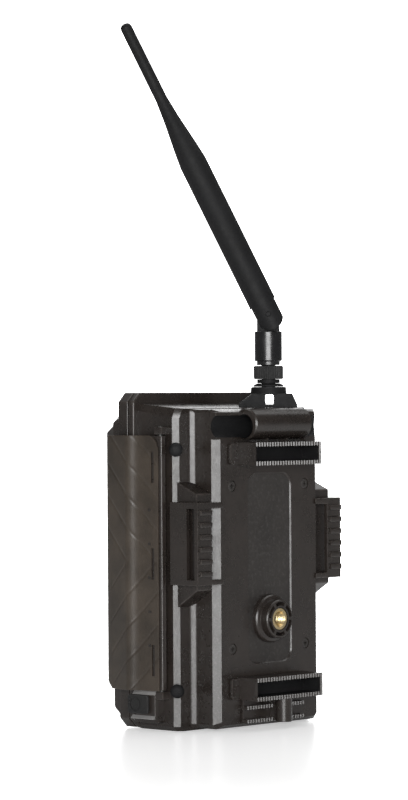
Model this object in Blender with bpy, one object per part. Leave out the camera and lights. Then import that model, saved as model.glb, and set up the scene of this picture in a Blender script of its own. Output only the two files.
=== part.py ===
"""Cellular trail camera: two hinged housing halves, a side latch, tree brackets, strap loops,
a tripod socket and a whip antenna, with the electronics and the cells inside.

Sizes are millimetres here and become metres where a mesh is made. +X is to the right of a
person who faces the lens, the lens looks along -Y, +Z is up. The origin is the middle of the
flat underside.
"""

import math

import bmesh
import bpy
from mathutils import Vector

MM = 0.001
GAP = 0.3
SHARP_ANGLE = math.radians(32)

# Housing halves, measured from the middle plane of the body.
RIM_HALF = 48.2
RIM_TOP = 150.0
RIM_LOW = 0.4
RIM_CUT = 4.2
RIM_STEP = (-31.5, 144.0)
DOOR_FRONT = -29.4
DOOR_LIP = -17.6
SEAM = -11.6
REAR_LIP = -8.0
BODY_HALF = 45.2
BODY_TOP = (145.0, 143.7)
SHOULDER = 15.1
SHOULDER_CUT = 2.25
BAY_HALF = 34.65
BACK = 29.5
BACK_CUT = 2.9
WALL = 2.3

# Back: tripod boss, brackets, cable tunnel, strap loops.
TRIPOD_Z = 48.4
INSERT_R = 4.75
TUNNEL_Y = 32.5
TUNNEL_Z = 135.0
TUNNEL_R = 6.9
TUNNEL_BORE = 5.5
BRACKET_HALF = 22.0
BRACKET_TIP = 42.0
TOOTH_PITCH = 2.0
TOOTH_DEPTH = 1.1
LOOP_SIDE = 48.0
LOOP_LOW = 65.0
LOOP_HIGH = 101.5
SCREW_PLACES = [(x, z) for z in (36.0, 108.3) for x in (-24.3, 24.3)]

# Hinges.
DOOR_PIN = (-51.6, SEAM)
LATCH_PIN = (48.2, 8.6)
LATCH_LOW = 18.0
LATCH_HIGH = 131.0

# Power port on the lower right side.
PORT_FACE = 50.4
PORT_Y = -4.0
PORT_Z = 11.75

# Antenna. SIGHT is the direction of its tilt pin in plan.
ANTENNA = (-17.0, 14.5)
SIGHT = Vector((0.731, 0.682, 0.0)).normalized()
ACROSS = Vector((-SIGHT.y, SIGHT.x, 0.0))
UP = Vector((0.0, 0.0, 1.0))
TILT_Z = 185.3
TILT = math.radians(26.0)
WHIP_LENGTH = 147.6
WHIP_R = 6.3
TONGUE_HALF = 5.1

# Front features, as (x, z).
LENS = (0.0, 80.0)
PIR = (0.0, 40.0)
STATUS = (-24.0, 62.0)
BUTTONS = (("menu", -21.0), ("up", -7.0), ("down", 7.0), ("ok", 21.0))
BUTTON_Z = 72.0
SWITCH_Z = 56.5
SWITCH_HALF_TRAVEL = 4.2

# AA cells.
CELL_R = 7.1
CELL_PITCH = 14.6
CELL_Y = 17.9
CELL_ROWS = (11.0, 70.5)
CELL_LENGTH = 50.5


def make_look(name, colour, roughness, metallic=0.0, alpha=1.0):
    look = bpy.data.materials.new(name)
    look.use_nodes = True
    shader = look.node_tree.nodes["Principled BSDF"]
    shader.inputs["Base Color"].default_value = (*colour, 1.0)
    shader.inputs["Roughness"].default_value = roughness
    shader.inputs["Metallic"].default_value = metallic
    shader.inputs["Alpha"].default_value = alpha
    return look


def add_rings(bm, rings, closed=False):
    """Skins rings of equal length. Caps the first and last unless the rings close on themselves."""
    loops = [[bm.verts.new(Vector(point) * MM) for point in ring] for ring in rings]
    pairs = list(zip(loops, loops[1:]))
    if closed:
        pairs.append((loops[-1], loops[0]))
    else:
        bm.faces.new(loops[0][::-1])
        bm.faces.new(loops[-1])
    for near, far in pairs:
        for i in range(len(near)):
            j = (i + 1) % len(near)
            bm.faces.new((near[i], near[j], far[j], far[i]))


def add_object(name, bm, look):
    bmesh.ops.recalc_face_normals(bm, faces=bm.faces[:])
    mesh = bpy.data.meshes.new(name)
    bm.to_mesh(mesh)
    bm.free()
    mesh.shade_smooth()
    mesh.set_sharp_from_angle(angle=SHARP_ANGLE)
    if look:
        mesh.materials.append(look)
    obj = bpy.data.objects.new(name, mesh)
    bpy.context.scene.collection.objects.link(obj)
    return obj


def place(outline, axis, height):
    """Lifts a flat outline to a ring across an axis: (y, z) for x, (x, z) for y, (x, y) for z."""
    if axis == "x":
        return [(height, u, v) for u, v in outline]
    if axis == "y":
        return [(u, height, v) for u, v in outline]
    return [(u, v, height) for u, v in outline]


def stack(name, axis, sections, look=None, closed=False):
    """A body skinned through (height, outline) sections along an axis."""
    bm = bmesh.new()
    add_rings(bm, [place(outline, axis, height) for height, outline in sections], closed)
    return add_object(name, bm, look)


def prism(name, axis, outline, low, high, look=None):
    return stack(name, axis, [(low, outline), (high, outline)], look)


def ring_prism(name, axis, outer, inner, low, high, look=None):
    sections = [(low, outer), (high, outer), (high, inner), (low, inner)]
    return stack(name, axis, sections, look, closed=True)


def boxes(name, corners, look=None):
    """One object of separate boxes, each ((x0, x1), (y0, y1), (z0, z1))."""
    bm = bmesh.new()
    for xs, ys, zs in corners:
        outline = [(xs[0], ys[0]), (xs[1], ys[0]), (xs[1], ys[1]), (xs[0], ys[1])]
        add_rings(bm, [place(outline, "z", height) for height in zs])
    return add_object(name, bm, look)


def box(name, xs, ys, zs, look=None):
    return boxes(name, [(xs, ys, zs)], look)


def circle(radius, segments, centre=(0.0, 0.0)):
    steps = [math.tau * i / segments for i in range(segments)]
    return [(centre[0] + radius * math.cos(a), centre[1] + radius * math.sin(a)) for a in steps]


def turned(name, profile, centre, axis, look=None, segments=24, closed=False):
    """A body turned from (radius, height) points about an axis through centre."""
    direction = Vector(axis).normalized()
    turn = direction.to_track_quat("Z", "Y").to_matrix()
    rings = []
    for radius, height in profile:
        flat = circle(radius, segments)
        rings.append([Vector(centre) + turn @ Vector((u, v, height)) for u, v in flat])
    bm = bmesh.new()
    add_rings(bm, rings, closed)
    return add_object(name, bm, look)


def oriented(name, outline, origin, along, upward, across, low, high, look=None):
    """A prism whose outline lies in the plane of along and upward, extruded across."""
    bm = bmesh.new()
    rings = []
    for depth in (low, high):
        start = Vector(origin) + across * depth
        rings.append([start + along * u + upward * v for u, v in outline])
    add_rings(bm, rings)
    return add_object(name, bm, look)


def boolean(target, operation, *tools):
    for tool in tools:
        tool.hide_render = True
        tool.display_type = "WIRE"
        modifier = target.modifiers.new(tool.name, "BOOLEAN")
        modifier.operation = operation
        modifier.solver = "EXACT"
        modifier.object = tool


def cut(target, *tools):
    boolean(target, "DIFFERENCE", *tools)


def weld(target, *tools):
    boolean(target, "UNION", *tools)


def set_origin(obj, point):
    """Moves the object's origin to a point on its joint's axis, leaving the shape where it is."""
    offset = Vector(point) * MM
    for vertex in obj.data.vertices:
        vertex.co -= offset
    obj.location = offset


def hang(name, point, pieces):
    """Parents pieces that turn together to an empty on their joint's axis, where they are."""
    axis = bpy.data.objects.new(name, None)
    axis.location = Vector(point) * MM
    bpy.context.scene.collection.objects.link(axis)
    bpy.context.view_layer.update()
    for piece in pieces:
        obj = bpy.data.objects[piece]
        obj.parent = axis
        obj.matrix_parent_inverse = axis.matrix_world.inverted()


def panel(half, low, high, low_cut, top_cut_x, top_cut_z):
    """An upright rectangle with cut corners, as (x, z) points from the lower left."""
    return [
        (-half + low_cut, low),
        (half - low_cut, low),
        (half, low + low_cut),
        (half, high - top_cut_z),
        (half - top_cut_x, high),
        (-half + top_cut_x, high),
        (-half, high - top_cut_z),
        (-half, low + low_cut),
    ]


def rim_outline():
    """The flange round the seam: cut corners, and a step down beside the antenna's foot."""
    points = panel(RIM_HALF, RIM_LOW, RIM_TOP, RIM_CUT, RIM_CUT, RIM_CUT)
    edge, low = RIM_STEP
    slope = [(edge, RIM_TOP), (edge - 5.0, low), (-RIM_HALF + 3.8, low), (-RIM_HALF, low - 3.8)]
    return points[:5] + slope + points[7:]


def rectangle(u0, u1, v0, v1, corner=0.0, steps=4):
    if not corner:
        return [(u0, v0), (u1, v0), (u1, v1), (u0, v1)]
    centres = [(u1, v0, 1, -1), (u1, v1, 1, 1), (u0, v1, -1, 1), (u0, v0, -1, -1)]
    points = []
    for quarter, (u, v, side_u, side_v) in enumerate(centres):
        for i in range(steps + 1):
            angle = math.radians(-90 + 90 * quarter + 90 * i / steps)
            centre_u = u - side_u * corner
            centre_v = v - side_v * corner
            points.append((centre_u + corner * math.cos(angle), centre_v + corner * math.sin(angle)))
    return points


def toothed(half, root, tip):
    """An (x, y) outline whose far edge at tip is a row of teeth."""
    count = int(2 * half / TOOTH_PITCH)
    points = [(-half, root), (half, root)]
    for i in range(count):
        right = half - i * TOOTH_PITCH
        points.append((right, tip - TOOTH_DEPTH))
        points.append((right - TOOTH_PITCH / 2, tip))
    points.append((-half, tip - TOOTH_DEPTH))
    return points


# Rear half of the housing.


def body_section(y, half):
    share = (y - REAR_LIP) / (SHOULDER - REAR_LIP)
    top = BODY_TOP[0] + (BODY_TOP[1] - BODY_TOP[0]) * share
    return (y, panel(half, 0.0, top, 2.0, 0.9, 4.0))


def tripod_boss(housing):
    centre = (0.0, 0.0, TRIPOD_Z)
    outer = [(10.9, 28.0), (10.5, 31.4), (8.65, 32.4), (8.65, 36.0)]
    weld(housing, turned("boss_body", outer, centre, (0, 1, 0), segments=32))
    bm = bmesh.new()
    pockets = 6
    for k in range(pockets):
        start = math.tau * (k + 0.1) / pockets
        end = math.tau * (k + 0.9) / pockets
        angles = [start + (end - start) * i / 4 for i in range(5)]
        outline = [(7.6 * math.cos(a), TRIPOD_Z + 7.6 * math.sin(a)) for a in angles]
        outline += [(6.0 * math.cos(a), TRIPOD_Z + 6.0 * math.sin(a)) for a in angles[::-1]]
        add_rings(bm, [place(outline, "y", y) for y in (32.0, 36.6)])
    cut(housing, add_object("boss_pockets", bm, None))
    bore = [(INSERT_R + GAP, 28.9), (INSERT_R + GAP, 36.8)]
    cut(housing, turned("boss_bore", bore, centre, (0, 1, 0)))


def cable_tunnel(housing):
    centre = (0.0, TUNNEL_Y, TUNNEL_Z)
    mouth = 20.0
    end = 38.0
    tube = [(TUNNEL_R, -mouth), (TUNNEL_R, mouth)]
    weld(housing, turned("tunnel_tube", tube, centre, (1, 0, 0), segments=32))
    bore = [(TUNNEL_BORE, -end), (TUNNEL_BORE, end)]
    cut(housing, turned("tunnel_bore", bore, centre, (1, 0, 0), segments=32))
    for side in (-1, 1):
        trough = [(TUNNEL_BORE + 0.55, mouth - 0.6), (TUNNEL_BORE + 0.55, end + 0.5)]
        name = "tunnel_trough_right" if side > 0 else "tunnel_trough_left"
        cut(housing, turned(name, trough, centre, (side, 0, 0), segments=32))


def antenna_pedestal(housing):
    base = (ANTENNA[0], ANTENNA[1], 0.0)
    foot = [(x + 0.5, y) for x, y in panel(13.0, -9.0, 9.0, 2.5, 3.0, 2.5)]
    block = rectangle(-7.6, 12.0, -6.6, 6.6)
    weld(
        housing,
        oriented("pedestal_foot", foot, base, ACROSS, SIGHT, UP, 141.6, 144.4),
        oriented("pedestal_block", block, base, ACROSS, SIGHT, UP, 143.9, 149.3),
        turned("pedestal_top", [(8.0, 148.9), (8.0, 152.3)], base, (0, 0, 1), segments=32),
    )
    eyelet = rectangle(-1.6, 2.3, 144.2, 148.8)
    cut(housing, oriented("pedestal_eyelet", eyelet, base, ACROSS, UP, SIGHT, -12.0, 12.0))
    hole = [(3.5, 149.5), (3.5, 154.0)]
    cut(housing, turned("jack_hole", hole, base, (0, 0, 1)))


def hinge_knuckles(housing, spans, web_y, prefix):
    for low, high in spans:
        name = f"{prefix}_knuckle_{round(low)}"
        centre = (DOOR_PIN[0], DOOR_PIN[1], 0.0)
        weld(
            housing,
            turned(name, [(2.9, low), (2.9, high)], centre, (0, 0, 1)),
            box(name + "_web", (DOOR_PIN[0], -RIM_HALF + 0.8), web_y, (low, high)),
        )
    bore = [(1.5, spans[0][0] - 2), (1.5, spans[-1][1] + 2)]
    cut(housing, turned(prefix + "_pin_hole", bore, (*DOOR_PIN, 0.0), (0, 0, 1), segments=16))


def side_ears(housing):
    for side, label in ((1, "right"), (-1, "left")):
        near = sorted((side * 33.9, side * 44.3))
        sections = [(14.7, rectangle(*near, 54.7, 108.7)), (26.6, rectangle(*near, 62.5, 104.4))]
        weld(housing, stack("ear_" + label, "y", sections))
        notch = sorted((side * 35.3, side * 45.6))
        zs = (LOOP_LOW + 1.0, LOOP_HIGH - 1.0)
        cut(housing, box("ear_notch_" + label, notch, (24.0, 28.0), zs))


def rear_housing(look):
    bay = panel(BAY_HALF, 0.3, 142.3, 2.0, 3.0, 4.3)
    back = panel(BAY_HALF - BACK_CUT, 2.0, 142.0, 1.5, 3.0, 4.3)
    sections = [
        body_section(REAR_LIP - 1.5, BODY_HALF),
        body_section(SHOULDER - SHOULDER_CUT, BODY_HALF),
        body_section(SHOULDER, BODY_HALF - SHOULDER_CUT),
        (SHOULDER, bay),
        (BACK - BACK_CUT, bay),
        (BACK, back),
    ]
    housing = stack("rear_housing", "y", sections, look)
    weld(housing, prism("rear_rim", "y", rim_outline(), SEAM + GAP / 2, REAR_LIP))
    wide = panel(BODY_HALF - WALL, 3.0, 139.6, 2.0, 7.0, 6.0)
    narrow = panel(BAY_HALF - WALL, 6.0, 126.5, 0.3, 0.3, 0.3)
    middle = SHOULDER - 2.5
    inside = [(SEAM - 1.0, wide), (middle, wide), (middle, narrow), (BACK - WALL, narrow)]
    cut(housing, stack("rear_cavity", "y", inside))
    land = rectangle(-14.5, 14.5, 28.0, 114.5, corner=4.0)
    cut(housing, prism("back_recess", "y", land, BACK - 1.2, BACK + 2.0))
    side_ears(housing)
    tripod_boss(housing)
    cable_tunnel(housing)
    antenna_pedestal(housing)
    hinge_knuckles(housing, [(30.0, 45.0), (105.0, 120.0)], (SEAM + GAP / 2, -8.9), "rear")
    lugs = [((44.2, 50.0), (6.3, 10.9), zs) for zs in ((14.2, 17.6), (131.4, 134.6))]
    port = rectangle(-8.2, 7.0, 3.5, 16.5, corner=1.6, steps=1)
    weld(housing, boxes("latch_lugs", lugs), prism("port_block", "x", port, 44.0, PORT_FACE))
    pin_hole = [(1.4, 12.0), (1.4, 137.0)]
    cut(housing, turned("latch_pin_hole", pin_hole, (*LATCH_PIN, 0.0), (0, 0, 1), segments=16))
    jack_hole = [(4.2, 40.0), (4.2, 54.0)]
    cut(housing, turned("power_hole", jack_hole, (0.0, PORT_Y, PORT_Z), (1, 0, 0)))
    for x, z in SCREW_PLACES:
        name = f"screw_seat_{round(x)}_{round(z)}"
        seat = [(1.3, 26.0), (1.3, BACK - 1.3), (2.6, BACK - 1.3), (2.6, BACK + 1.0)]
        cut(housing, turned(name, seat, (x, 0.0, z), (0, 1, 0), segments=16))
    groove = (
        panel(46.8, 1.6, 142.9, 3.8, 3.8, 3.8),
        panel(44.4, 4.2, 140.5, 3.0, 3.0, 3.0),
    )
    cut(housing, ring_prism("gasket_groove", "y", *groove, SEAM - 1.0, -9.9))


def make_rear_hardware(looks):
    seal = (panel(46.4, 2.0, 142.5, 3.6, 3.6, 3.6), panel(44.8, 3.8, 140.9, 3.1, 3.1, 3.1))
    ring_prism("housing_gasket", "y", *seal, -11.4, -10.2, looks["rubber"])
    for number, (x, z) in enumerate(SCREW_PLACES, start=1):
        shape = [(1.0, 27.5), (1.0, 28.5), (2.3, 28.5), (2.3, 29.3)]
        turned(f"back_screw_{number}", shape, (x, 0.0, z), (0, 1, 0), looks["black"], 16)
    insert = [(3.15, 29.3), (INSERT_R, 29.3), (INSERT_R, 35.7), (3.15, 35.7)]
    centre = (0.0, 0.0, TRIPOD_Z)
    turned("tripod_insert", insert, centre, (0, 1, 0), looks["brass"], 24, closed=True)
    pin = [(1.2, 29.0), (1.2, 121.0)]
    turned("door_hinge_pin", pin, (*DOOR_PIN, 0.0), (0, 0, 1), looks["steel"], 16)
    pin = [(1.1, 14.0), (1.1, 135.0)]
    turned("latch_pin", pin, (*LATCH_PIN, 0.0), (0, 0, 1), looks["steel"], 16)
    for label, z in (("lower", 18.0), ("upper", 124.7)):
        head = [(2.2, 0.4), (3.0, 0.8), (3.1, 2.2), (2.4, 3.4), (1.0, 3.9)]
        corner = (BODY_HALF - SHOULDER_CUT / 2, SHOULDER - SHOULDER_CUT / 2, z)
        turned("side_screw_" + label, head, corner, (1, 1, 0), looks["black"], 20)


def make_brackets(look):
    for label, low in (("upper", 117.4), ("lower", 13.2)):
        high = low + 10.2
        root = BACK + GAP
        outline = toothed(BRACKET_HALF, root, BRACKET_TIP)
        bracket = prism(f"tree_bracket_{label}", "z", outline, low, high, look)
        tabs = rectangle(-27.0, 27.0, low + 0.4, high - 0.4)
        weld(bracket, prism(f"{label}_tabs", "y", tabs, root, root + 1.6))
        channel = (low + 1.8, high - 1.8)
        cut(bracket, box(f"{label}_channel", (-20.2, 20.2), (root + 2.0, 45.0), channel))
        if label == "lower":
            half = 19.5
            ledges = [(2.9, 4.5), (8.9, 10.5)]
            for zs in ledges:
                name = f"ledge_{round(zs[0])}"
                weld(bracket, prism(name, "z", toothed(half, root + 0.4, 33.6), *zs))
            plate = box("ledge_plate", (-half, half), (root, root + 1.3), (2.7, 13.6))
            web = box("post_web", (-1.6, 1.6), (root + 0.5, 38.0), (3.3, 13.6))
            post = turned("post", [(3.7, 2.7), (3.7, 13.7)], (0.0, 37.8, 0.0), (0, 0, 1))
            weld(bracket, plate, web, post)


def make_strap_loops(look):
    for side, label in ((1, "right"), (-1, "left")):
        wall = [
            (45.5, 13.8),
            (LOOP_SIDE, 13.8),
            (LOOP_SIDE, 30.6),
            (38.7, 30.6),
            (38.7, 28.6),
            (46.2, 28.6),
            (46.2, 15.4),
            (45.5, 15.4),
        ]
        end_plate = [
            (44.6, 15.6),
            (LOOP_SIDE - 0.1, 15.6),
            (LOOP_SIDE - 0.1, 30.5),
            (31.0, 30.5),
            (31.0, BACK + GAP),
            (34.9, BACK + GAP),
            (34.98, 26.9),
            (44.6, 26.9),
        ]
        wall = [(side * x, y) for x, y in wall]
        end_plate = [(side * x, y) for x, y in end_plate]
        loop = prism("strap_loop_" + label, "z", wall, LOOP_LOW, LOOP_HIGH, look)
        for zs in ((LOOP_LOW + 0.1, 67.4), (98.8, LOOP_HIGH - 0.1)):
            weld(loop, prism(f"{label}_end_{round(zs[0])}", "z", end_plate, *zs))
        window = sorted((side * 45.0, side * 49.0))
        cut(loop, box(label + "_strap_window", window, (24.0, 28.6), (67.4, 98.8)))
        xs = sorted((side * 39.6, side * 47.2))
        ribs = [(xs, (30.2, 32.0), (z, z + 2.3)) for z in (68.9 + 5.4 * k for k in range(6))]
        weld(loop, boxes(label + "_ribs", ribs))


def make_latch(looks):
    shape = [
        (46.0, 6.5),
        (46.0, -6.9),
        (48.9, -6.9),
        (48.9, -19.4),
        (50.55, -19.7),
        (53.0, -6.0),
        (51.95, -3.0),
        (50.3, 9.0),
        (49.6, 10.6),
        (47.6, 10.9),
        (46.2, 9.8),
    ]
    frame = prism("latch_frame", "z", shape, LATCH_LOW + GAP, LATCH_HIGH - GAP, looks["housing"])
    cut(frame, box("latch_pocket", (45.0, 51.2), (-5.4, 5.2), (23.0, 126.0)))
    hole = [(1.4, LATCH_LOW - 3), (1.4, LATCH_HIGH + 3)]
    cut(frame, turned("latch_bore", hole, (*LATCH_PIN, 0.0), (0, 0, 1), segments=16))
    skin = [(50.9, -20.0), (52.4, -20.0), (55.0, -5.8), (53.5, -2.6), (51.1, 9.6)]
    skin += [(50.6, 9.6), (52.3, -2.9), (53.4, -5.9)]
    grip = prism("latch_grip_panel", "z", skin, LATCH_LOW, LATCH_HIGH, looks["bronze"])
    for piece in (frame, grip):
        set_origin(piece, (*LATCH_PIN, 75.0))


def make_power_port(looks):
    centre = (0.0, PORT_Y, PORT_Z)
    shell = [(2.8, 43.0), (2.8, 50.1), (3.9, 50.1), (3.9, 41.5)]
    turned("power_jack", shell, centre, (1, 0, 0), looks["black"], 20)
    flap = rectangle(-9.0, 3.4, 7.6, 15.9, corner=1.2, steps=2)
    cover = prism("power_port_cover", "x", flap, PORT_FACE + GAP, PORT_FACE + 1.7, looks["rubber"])
    set_origin(cover, (51.4, 3.0, PORT_Z))


# Front half of the housing, which is the door.


def front_housing(look):
    sections = [
        (DOOR_LIP + 2.0, panel(47.6, 3.0, 143.6, 3.0, 6.0, 5.0)),
        (DOOR_LIP, panel(47.6, 3.0, 143.6, 3.0, 6.0, 5.0)),
        (-22.0, panel(47.2, 6.5, 141.4, 3.0, 6.0, 5.0)),
        (-22.0, panel(46.6, 14.0, 140.8, 3.0, 6.0, 5.0)),
        (DOOR_FRONT, panel(43.6, 17.3, 137.0, 3.0, 6.0, 5.0)),
    ]
    housing = stack("front_housing", "y", sections, look)
    weld(housing, prism("front_rim", "y", rim_outline(), DOOR_LIP, SEAM - GAP / 2))
    inside = [
        (SEAM + 1.0, panel(44.2, 8.8, 134.0, 2.0, 6.0, 5.0)),
        (-19.8, panel(44.2, 8.8, 134.0, 2.0, 6.0, 5.0)),
        (-19.8, panel(43.8, 17.0, 133.4, 2.0, 6.0, 5.0)),
        (DOOR_FRONT + 2.2, panel(41.4, 19.6, 131.4, 2.0, 5.0, 5.0)),
    ]
    cut(housing, stack("front_cavity", "y", inside))
    cut(housing, box("led_opening", (-33.0, 33.0), (-31.0, -26.0), (98.0, 126.0)))
    holes = (("lens_opening", LENS, 12.3), ("pir_opening", PIR, 11.3), ("status_opening", STATUS, 2.9))
    for name, (x, z), radius in holes:
        hole = [(radius, -32.0), (radius, -26.0)]
        cut(housing, turned(name, hole, (x, 0.0, z), (0, 1, 0), segments=32))
    hinge_knuckles(housing, [(45.4, 60.0), (90.0, 104.6)], (-16.4, SEAM - GAP / 2), "front")
    set_origin(housing, (*DOOR_PIN, 75.0))


def make_optics(looks):
    lens_at = (LENS[0], 0.0, LENS[1])
    bezel = [(8.6, -27.7), (12.0, -27.7), (12.0, -30.2), (10.8, -31.6), (9.3, -31.6), (8.6, -30.3)]
    turned("lens_bezel", bezel, lens_at, (0, 1, 0), looks["black"], 32, closed=True)
    turned("lens_window", [(8.3, -29.9), (8.3, -28.7)], lens_at, (0, 1, 0), looks["glass"], 32)
    module = [(7.4, -28.3), (7.4, -25.4), (6.0, -25.4), (6.0, -20.5)]
    turned("lens_module", module, lens_at, (0, 1, 0), looks["black"])
    box("image_sensor_board", (-10.0, 10.0), (-20.2, -19.0), (70.0, 90.0), looks["board"])
    box("ir_led_window", (-32.7, 32.7), (-29.1, -27.6), (98.3, 125.7), looks["dark_glass"])
    box("ir_led_board", (-32.0, 32.0), (-26.6, -25.0), (99.0, 125.0), looks["board"])
    inside = [(0.6, -31.6), (6.0, -30.6), (9.0, -28.6), (9.9, -26.2)]
    outside = [(11.0, -26.2), (10.9, -28.9), (7.0, -32.0), (0.6, -32.9)]
    pir_at = (PIR[0], 0.0, PIR[1])
    turned("pir_lens", inside + outside, pir_at, (0, 1, 0), looks["lens_plastic"], 28)
    turned("pir_sensor", [(4.6, -24.0), (4.6, -18.4)], pir_at, (0, 1, 0), looks["steel"])
    status_at = (STATUS[0], 0.0, STATUS[1])
    turned("status_window", [(2.6, -29.2), (2.6, -27.0)], status_at, (0, 1, 0), looks["dark_glass"], 16)
    box("main_board", (-40.0, 40.0), (-18.0, -16.6), (12.0, 82.0), looks["board"])
    box("lcd_screen", (-23.0, 23.0), (-17.2, -14.3), (86.0, 120.0), looks["dark_glass"])


def make_controls(looks):
    cover = prism("inner_cover", "y", panel(43.8, 9.2, 133.6, 2.0, 6.0, 5.0), -14.0, -12.2, looks["housing"])
    cut(cover, box("screen_window", (-20.5, 20.5), (-15.0, -11.0), (89.0, 117.0)))
    cut(cover, box("switch_window", (-7.0, 7.0), (-15.0, -11.0), (SWITCH_Z - 2.3, SWITCH_Z + 2.3)))
    for label, x in BUTTONS:
        centre = (x, 0.0, BUTTON_Z)
        cut(cover, turned(label + "_hole", [(3.8, -15.0), (3.8, -11.0)], centre, (0, 1, 0), segments=20))
        cap = [(3.4, -15.2), (3.4, -11.4), (2.9, -11.0)]
        button = turned("button_" + label, cap, centre, (0, 1, 0), looks["rubber"], 20)
        set_origin(button, (x, -12.2, BUTTON_Z))
    knob_z = (SWITCH_Z - 1.9, SWITCH_Z + 1.9)
    slider = box("mode_switch", (-6.7, -1.7), (-15.2, -11.4), knob_z, looks["bronze"])
    set_origin(slider, (-SWITCH_HALF_TRAVEL, -12.2, SWITCH_Z))
    socket = box("sd_card_socket", (-14.0, 14.0), (-11.9, -8.7), (22.0, 46.0), looks["steel"])
    cut(socket, box("card_slot", (-12.4, 12.4), (-11.6, -9.3), (18.0, 44.6)))
    card = box("sd_card", (-12.0, 12.0), (-11.3, -9.6), (14.0, 44.2), looks["card"])
    set_origin(card, (0.0, -10.45, 29.0))


# Power and radio, inside the rear half.


def make_power_and_radio(looks):
    tray = box("battery_tray", (-31.9, 31.9), (10.2, 26.8), (6.4, 126.1), looks["black"])
    cut(tray, box("tray_hollow", (-30.6, 30.6), (8.0, 25.4), (7.9, 124.6)))
    columns = [CELL_PITCH * (i - 1.5) for i in range(4)]
    number = 0
    for low in CELL_ROWS:
        for x in columns:
            number += 1
            high = low + CELL_LENGTH
            shape = [(CELL_R, low), (CELL_R, high - 1.4), (2.75, high - 1.4), (2.75, high)]
            turned(f"battery_{number}", shape, (x, CELL_Y, 0.0), (0, 0, 1), looks["cell"], 20)
    plates = (
        ("lower", (8.2, 8.8), [(8.6, 10.7)]),
        ("middle", (65.7, 66.3), [(65.9, 61.8), (66.1, 70.2)]),
        ("upper", (123.7, 124.3), [(123.9, 121.3)]),
    )
    for label, zs, springs in plates:
        name = f"battery_contacts_{label}"
        plate = box(name, (-28.5, 28.5), (12.0, 24.0), zs, looks["steel"])
        for k, (start, end) in enumerate(springs):
            for x in columns:
                cone = [(4.6, start), (2.6, end)]
                spring = f"{label}_spring_{k}_{round(x)}"
                weld(plate, turned(spring, cone, (x, CELL_Y, 0.0), (0, 0, 1), segments=12))
    box("modem_board", (-34.0, 34.0), (4.6, 6.0), (96.0, 137.0), looks["board"])
    sim = box("sim_card", (10.0, 25.0), (3.3, 4.2), (104.0, 116.0), looks["card"])
    set_origin(sim, (17.5, 3.75, 110.0))


# Antenna.


def arch(half, low, steps=12):
    """An outline with straight sides from low and a round head centred on zero."""
    angles = [math.pi * i / steps for i in range(steps + 1)]
    return [(-half, low), (half, low)] + [(half * math.cos(a), half * math.sin(a)) for a in angles]


def make_antenna(looks):
    base = (ANTENNA[0], ANTENNA[1], 0.0)
    jack = [(3.2, 149.8), (3.2, 154.0), (5.3, 154.0), (5.3, 155.5), (3.2, 155.5), (3.2, 160.3)]
    turned("antenna_jack", jack, base, (0, 0, 1), looks["brass"], 24)
    washer = [(3.6, 152.6), (6.7, 152.6), (6.7, 153.7), (3.6, 153.7)]
    turned("antenna_washer", washer, base, (0, 0, 1), looks["black"], 32, closed=True)
    knurl = []
    teeth = 24
    for i in range(2 * teeth):
        radius = 6.55 if i % 2 else 6.15
        angle = math.tau * i / (2 * teeth)
        knurl.append((ANTENNA[0] + radius * math.cos(angle), ANTENNA[1] + radius * math.sin(angle)))
    bore = circle(3.6, 2 * teeth, ANTENNA)
    nut = ring_prism("antenna_nut", "z", knurl, bore, 155.8, 161.9, looks["black"])
    set_origin(nut, (*ANTENNA, 158.8))

    shape = [(3.2, 160.7), (3.2, 162.2), (5.3, 162.2), (5.3, 163.9)]
    shape += [(6.07, 164.2), (6.07, 177.3), (5.7, 177.6)]
    barrel = turned("antenna_barrel", shape, base, (0, 0, 1), looks["black"], 32)
    pivot = (ANTENNA[0], ANTENNA[1], TILT_Z)
    tongue = arch(TONGUE_HALF, 176.6 - TILT_Z)
    weld(barrel, oriented("barrel_tongue", tongue, pivot, ACROSS, UP, SIGHT, -2.4, 2.4))
    cut(barrel, turned("tongue_hole", [(1.3, -8.0), (1.3, 8.0)], pivot, SIGHT, segments=16))
    turned("antenna_tilt_pin", [(1.0, -5.6), (1.0, 5.6)], pivot, SIGHT, looks["black"], 16)

    lean = (-ACROSS * math.sin(TILT) + UP * math.cos(TILT)).normalized()
    beside = lean.cross(SIGHT).normalized()
    outline = [
        (WHIP_R, -9.0),
        (WHIP_R, 77.0),
        (5.5, 84.5),
        (3.6, 99.5),
        (2.75, 109.5),
        (2.7, WHIP_LENGTH - 2.2),
        (2.0, WHIP_LENGTH - 0.7),
        (0.8, WHIP_LENGTH),
    ]
    whip = turned("antenna_whip", outline, pivot, lean, looks["black"], 28)
    reach = WHIP_LENGTH + 10.0
    heel = [(u, -1.0 - v) for u, v in arch(WHIP_R + 0.05, -reach, steps=16)]
    boolean(whip, "INTERSECT", oriented("whip_heel", heel, pivot, beside, lean, SIGHT, -9.0, 9.0))
    slot = rectangle(-9.0, 9.0, -12.0, TONGUE_HALF + 0.5)
    cut(whip, oriented("whip_slot", slot, pivot, beside, lean, SIGHT, -2.7, 2.7))
    cut(whip, turned("whip_hole", [(1.3, -9.0), (1.3, 9.0)], pivot, SIGHT, segments=16))
    set_origin(whip, pivot)


ON_DOOR = (
    "lens_bezel",
    "lens_window",
    "lens_module",
    "image_sensor_board",
    "ir_led_window",
    "ir_led_board",
    "pir_lens",
    "pir_sensor",
    "status_window",
    "main_board",
    "lcd_screen",
    "inner_cover",
    "sd_card_socket",
)


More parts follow.
